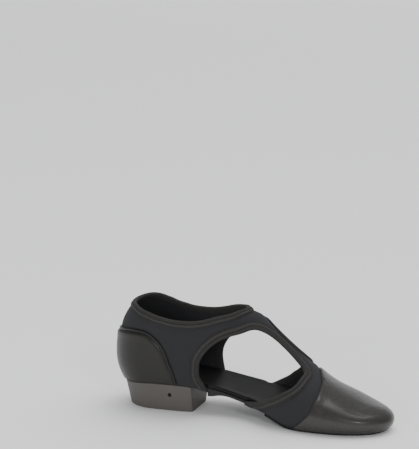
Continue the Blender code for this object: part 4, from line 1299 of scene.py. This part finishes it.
def heel_surface():
    """Closed mesh of the heel, as the solid's but with many more levels and points."""
    breast = float(loop_of(BREAST_AT))
    curve = np.linspace(0, 1, 46)[1:] ** 1.15 * breast
    medial, lateral = skin(-curve, 0.0), skin(curve, 0.0)
    back, front = float(skin(0.0, 0.0)[0]), float(medial[-1][0])
    face = [medial[-1] + (lateral[-1] - medial[-1]) * t for t in np.linspace(0, 1, 9)[1:-1]]
    outline = np.vstack([medial[::-1], [[back, 0.0, 0.0]], lateral, face[::-1]])
    rings = []
    for level in np.linspace(0, 1, HEEL_LEVELS):
        ring = []
        for x, y, _ in outline:
            along = (x - back) / (front - back)
            corner = 1.0 - CORNER_IN * np.clip((along - CORNER_FROM) / (1 - CORNER_FROM), 0, 1) ** 2
            ground_x = HEEL_BACK + (HEEL_FRONT - HEEL_BACK) * along
            ground = np.array([ground_x, y * HEEL_TAPER * corner - HEEL_SHIFT, 0.0])
            top = np.array([x, y, float(seat_height(x)) - GAP])
            ring.append(ground + (top - ground) * level)
        rings.append(ring)
    size = len(outline)
    faces = tube_faces(HEEL_LEVELS, size)
    faces += [tuple(range(size))[::-1], tuple(range((HEEL_LEVELS - 1) * size, HEEL_LEVELS * size))]
    verts = np.array(rings).reshape(-1, 3)
    return verts, facing_out(verts, faces)


def apply_modifiers(piece):
    """Turn what the modifiers show into the piece's own mesh."""
    mesh = evaluated_mesh(piece)
    piece.modifiers.clear()
    piece.data = mesh


def drill_bit(centre, diameter, depth):
    """Round bar along the Y axis, to cut a hole with."""
    bit = bmesh.new()
    bmesh.ops.create_cone(bit, cap_ends=True, segments=28, radius1=diameter / 2, radius2=diameter / 2,
                          depth=depth * 2)
    for vert in bit.verts:
        x, y, z = vert.co
        vert.co = (x + centre[0], z + centre[1], y + centre[2])
    bmesh.ops.recalc_face_normals(bit, faces=bit.faces)
    mesh = bpy.data.meshes.new("drill")
    bit.to_mesh(mesh)
    bit.free()
    return place_object("drill", mesh)


verts, faces = heel_surface()
blank = bpy.data.meshes.new("heel_blank")
blank.from_pydata((verts - ORIGIN).tolist(), [], faces)
heel = place_object("heel_block_moulding", blank)
blank.materials.append(heel_finish)
soften = heel.modifiers.new("soften", "BEVEL")
soften.width, soften.segments, soften.limit_method = HEEL_EDGE, 3, "ANGLE"
soften.angle_limit = np.radians(35)
apply_modifiers(heel)
hole_x, hole_z = HOLE_AT[0] - HEEL_CENTRE, HOLE_AT[1]
side_y = min(v.co.y for v in heel.data.vertices if abs(v.co.x - hole_x) < 0.004
             and abs(v.co.z - hole_z) < 0.003)
drill = drill_bit((hole_x, side_y, hole_z), HOLE, HOLE_DEPTH)
cut = heel.modifiers.new("hole", "BOOLEAN")
cut.operation, cut.solver, cut.object = "DIFFERENCE", "EXACT", drill
apply_modifiers(heel)
bpy.data.objects.remove(drill)
heel.data.shade_smooth()
heel.data.set_sharp_from_angle(angle=np.radians(30))
enrol(heel, "heel_block")

# %% [markdown]
# The photograph was cut out on white, so the floor is plain and pale. Colour and gloss are lit apart.
# A broad soft sun behind the shoe and a low panel in front light the colours, and no surface mirrors
# them. What the leather mirrors is three panels: a low sweep behind, which lightens the top of the toe
# and leaves the band below it dark, a soft one overhead, which gives the toe its long highlight, and a
# small one in front, toward the toe, for the tip of the toe and the swelling of the counter.

# %% Floor and light
FLOOR_SIZE = 30.0
FLOOR_WHITE = (0.90, 0.90, 0.90, 1)
SKY, SKY_GLOW = (0.9, 0.92, 0.95, 1), 0.32
LIT_POINT = (0.08, 0, 0.03)   # where every light points
SUN_PLACE, SUN_STRENGTH, SUN_SPREAD = (0.2, 1.0, 1.8), 3.0, np.radians(80)
# Panels. Glow is the brightness, 1 being about that of the floor, width and height are in metres.
# Columns: name, position, glow, width, height, mirrored.
PANELS = [
    ("low_front", (-0.2, -2.2, 0.5), 5.8, 2.6, 0.8, False),
    ("back_sweep", (0.3, 3.0, 0.50), 0.75, 5.0, 0.9, True),
    ("key_high", (0.16, 0.62, 2.0), 4.2, 0.7, 0.8, True),
    ("toe_side", (1.1, -1.3, 0.95), 19.0, 0.35, 0.35, True)]
floor_mesh = bpy.data.meshes.new("floor")
corners = [(x * FLOOR_SIZE / 2, y * FLOOR_SIZE / 2, 0) for x, y in ((-1, -1), (1, -1), (1, 1), (-1, 1))]
floor_mesh.from_pydata(corners, [], [(0, 1, 2, 3)])
floor = place_object("floor", floor_mesh)
floor_finish = bpy.data.materials.new("floor_paper")
floor_finish.use_nodes = True
paper = floor_finish.node_tree.nodes["Principled BSDF"].inputs
paper["Base Color"].default_value, paper["Roughness"].default_value = FLOOR_WHITE, 0.9
floor_mesh.materials.append(floor_finish)

world = bpy.data.worlds.new("studio")
bpy.context.scene.world = world
world.use_nodes = True
sky = world.node_tree.nodes["Background"].inputs
sky["Color"].default_value, sky["Strength"].default_value = SKY, SKY_GLOW


def aim(thing, position, target):
    """Put a light or a camera in its place and turn it to a point."""
    thing.location = position
    thing.rotation_euler = (Vector(target) - Vector(position)).to_track_quat("-Z", "Y").to_euler()


def place_light(name, light, position, mirrored):
    """Put a light in the scene. One that is not mirrored lights colour only, and adds no gloss."""
    thing = place_object(name, light)
    thing.visible_glossy = mirrored
    aim(thing, position, LIT_POINT)


sun = bpy.data.lights.new("high_back", "SUN")
sun.energy, sun.angle = SUN_STRENGTH, SUN_SPREAD
place_light("high_back", sun, SUN_PLACE, False)
for name, position, glow, width, height, mirrored in PANELS:
    light = bpy.data.lights.new(name, "AREA")
    light.shape, light.size, light.size_y = "RECTANGLE", width, height
    light.energy = glow * width * height * np.pi ** 2 / 4
    place_light(name, light, position, mirrored)
print("lights", len(bpy.data.lights))

# %% [markdown]
# The camera stands where the photograph's stood: a little toward the toe and above the shoe. It looks
# past the shoe, up and to the left, so that the shoe keeps its low place at the right of the frame.

# %% Camera
IMAGE = (419, 449)            # size of the photograph in pixels
FOCAL = 2340.0                # focal length in pixels
DISTANCE = 2.0
AZIMUTH, ELEVATION = 20.0, 17.0
AIM = np.array([0.125, 0.0, 0.030])
AIM_PIXEL = (255.9, 377.9)    # where that place of the shoe falls in the photograph
turn, lift = np.radians(AZIMUTH), np.radians(ELEVATION)
back = np.array([np.sin(turn) * np.cos(lift), -np.cos(turn) * np.cos(lift), np.sin(lift)])
right = np.array([np.cos(turn), np.sin(turn), 0.0])
above = np.cross(back, right)
pixel = DISTANCE / FOCAL
centre = AIM - ORIGIN
off_right, off_down = (place - size / 2 for place, size in zip(AIM_PIXEL, IMAGE))
looked_at = centre - right * off_right * pixel + above * off_down * pixel
lens = bpy.data.cameras.new("camera")
lens.sensor_fit, lens.sensor_height, lens.sensor_width = "VERTICAL", 24.0, 24.0
lens.lens = lens.sensor_height * FOCAL / IMAGE[1]
lens.clip_start, lens.clip_end = 0.05, 60.0
camera = place_object("camera", lens)
aim(camera, (centre + back * DISTANCE).tolist(), looked_at.tolist())
bpy.context.scene.camera = camera
print("lens in mm", round(lens.lens, 1))

# %% [markdown]
# Last, the view layer is brought up to date. Each piece already hangs on its body.

# %% Bringing the scene up to date
bpy.context.view_layer.update()
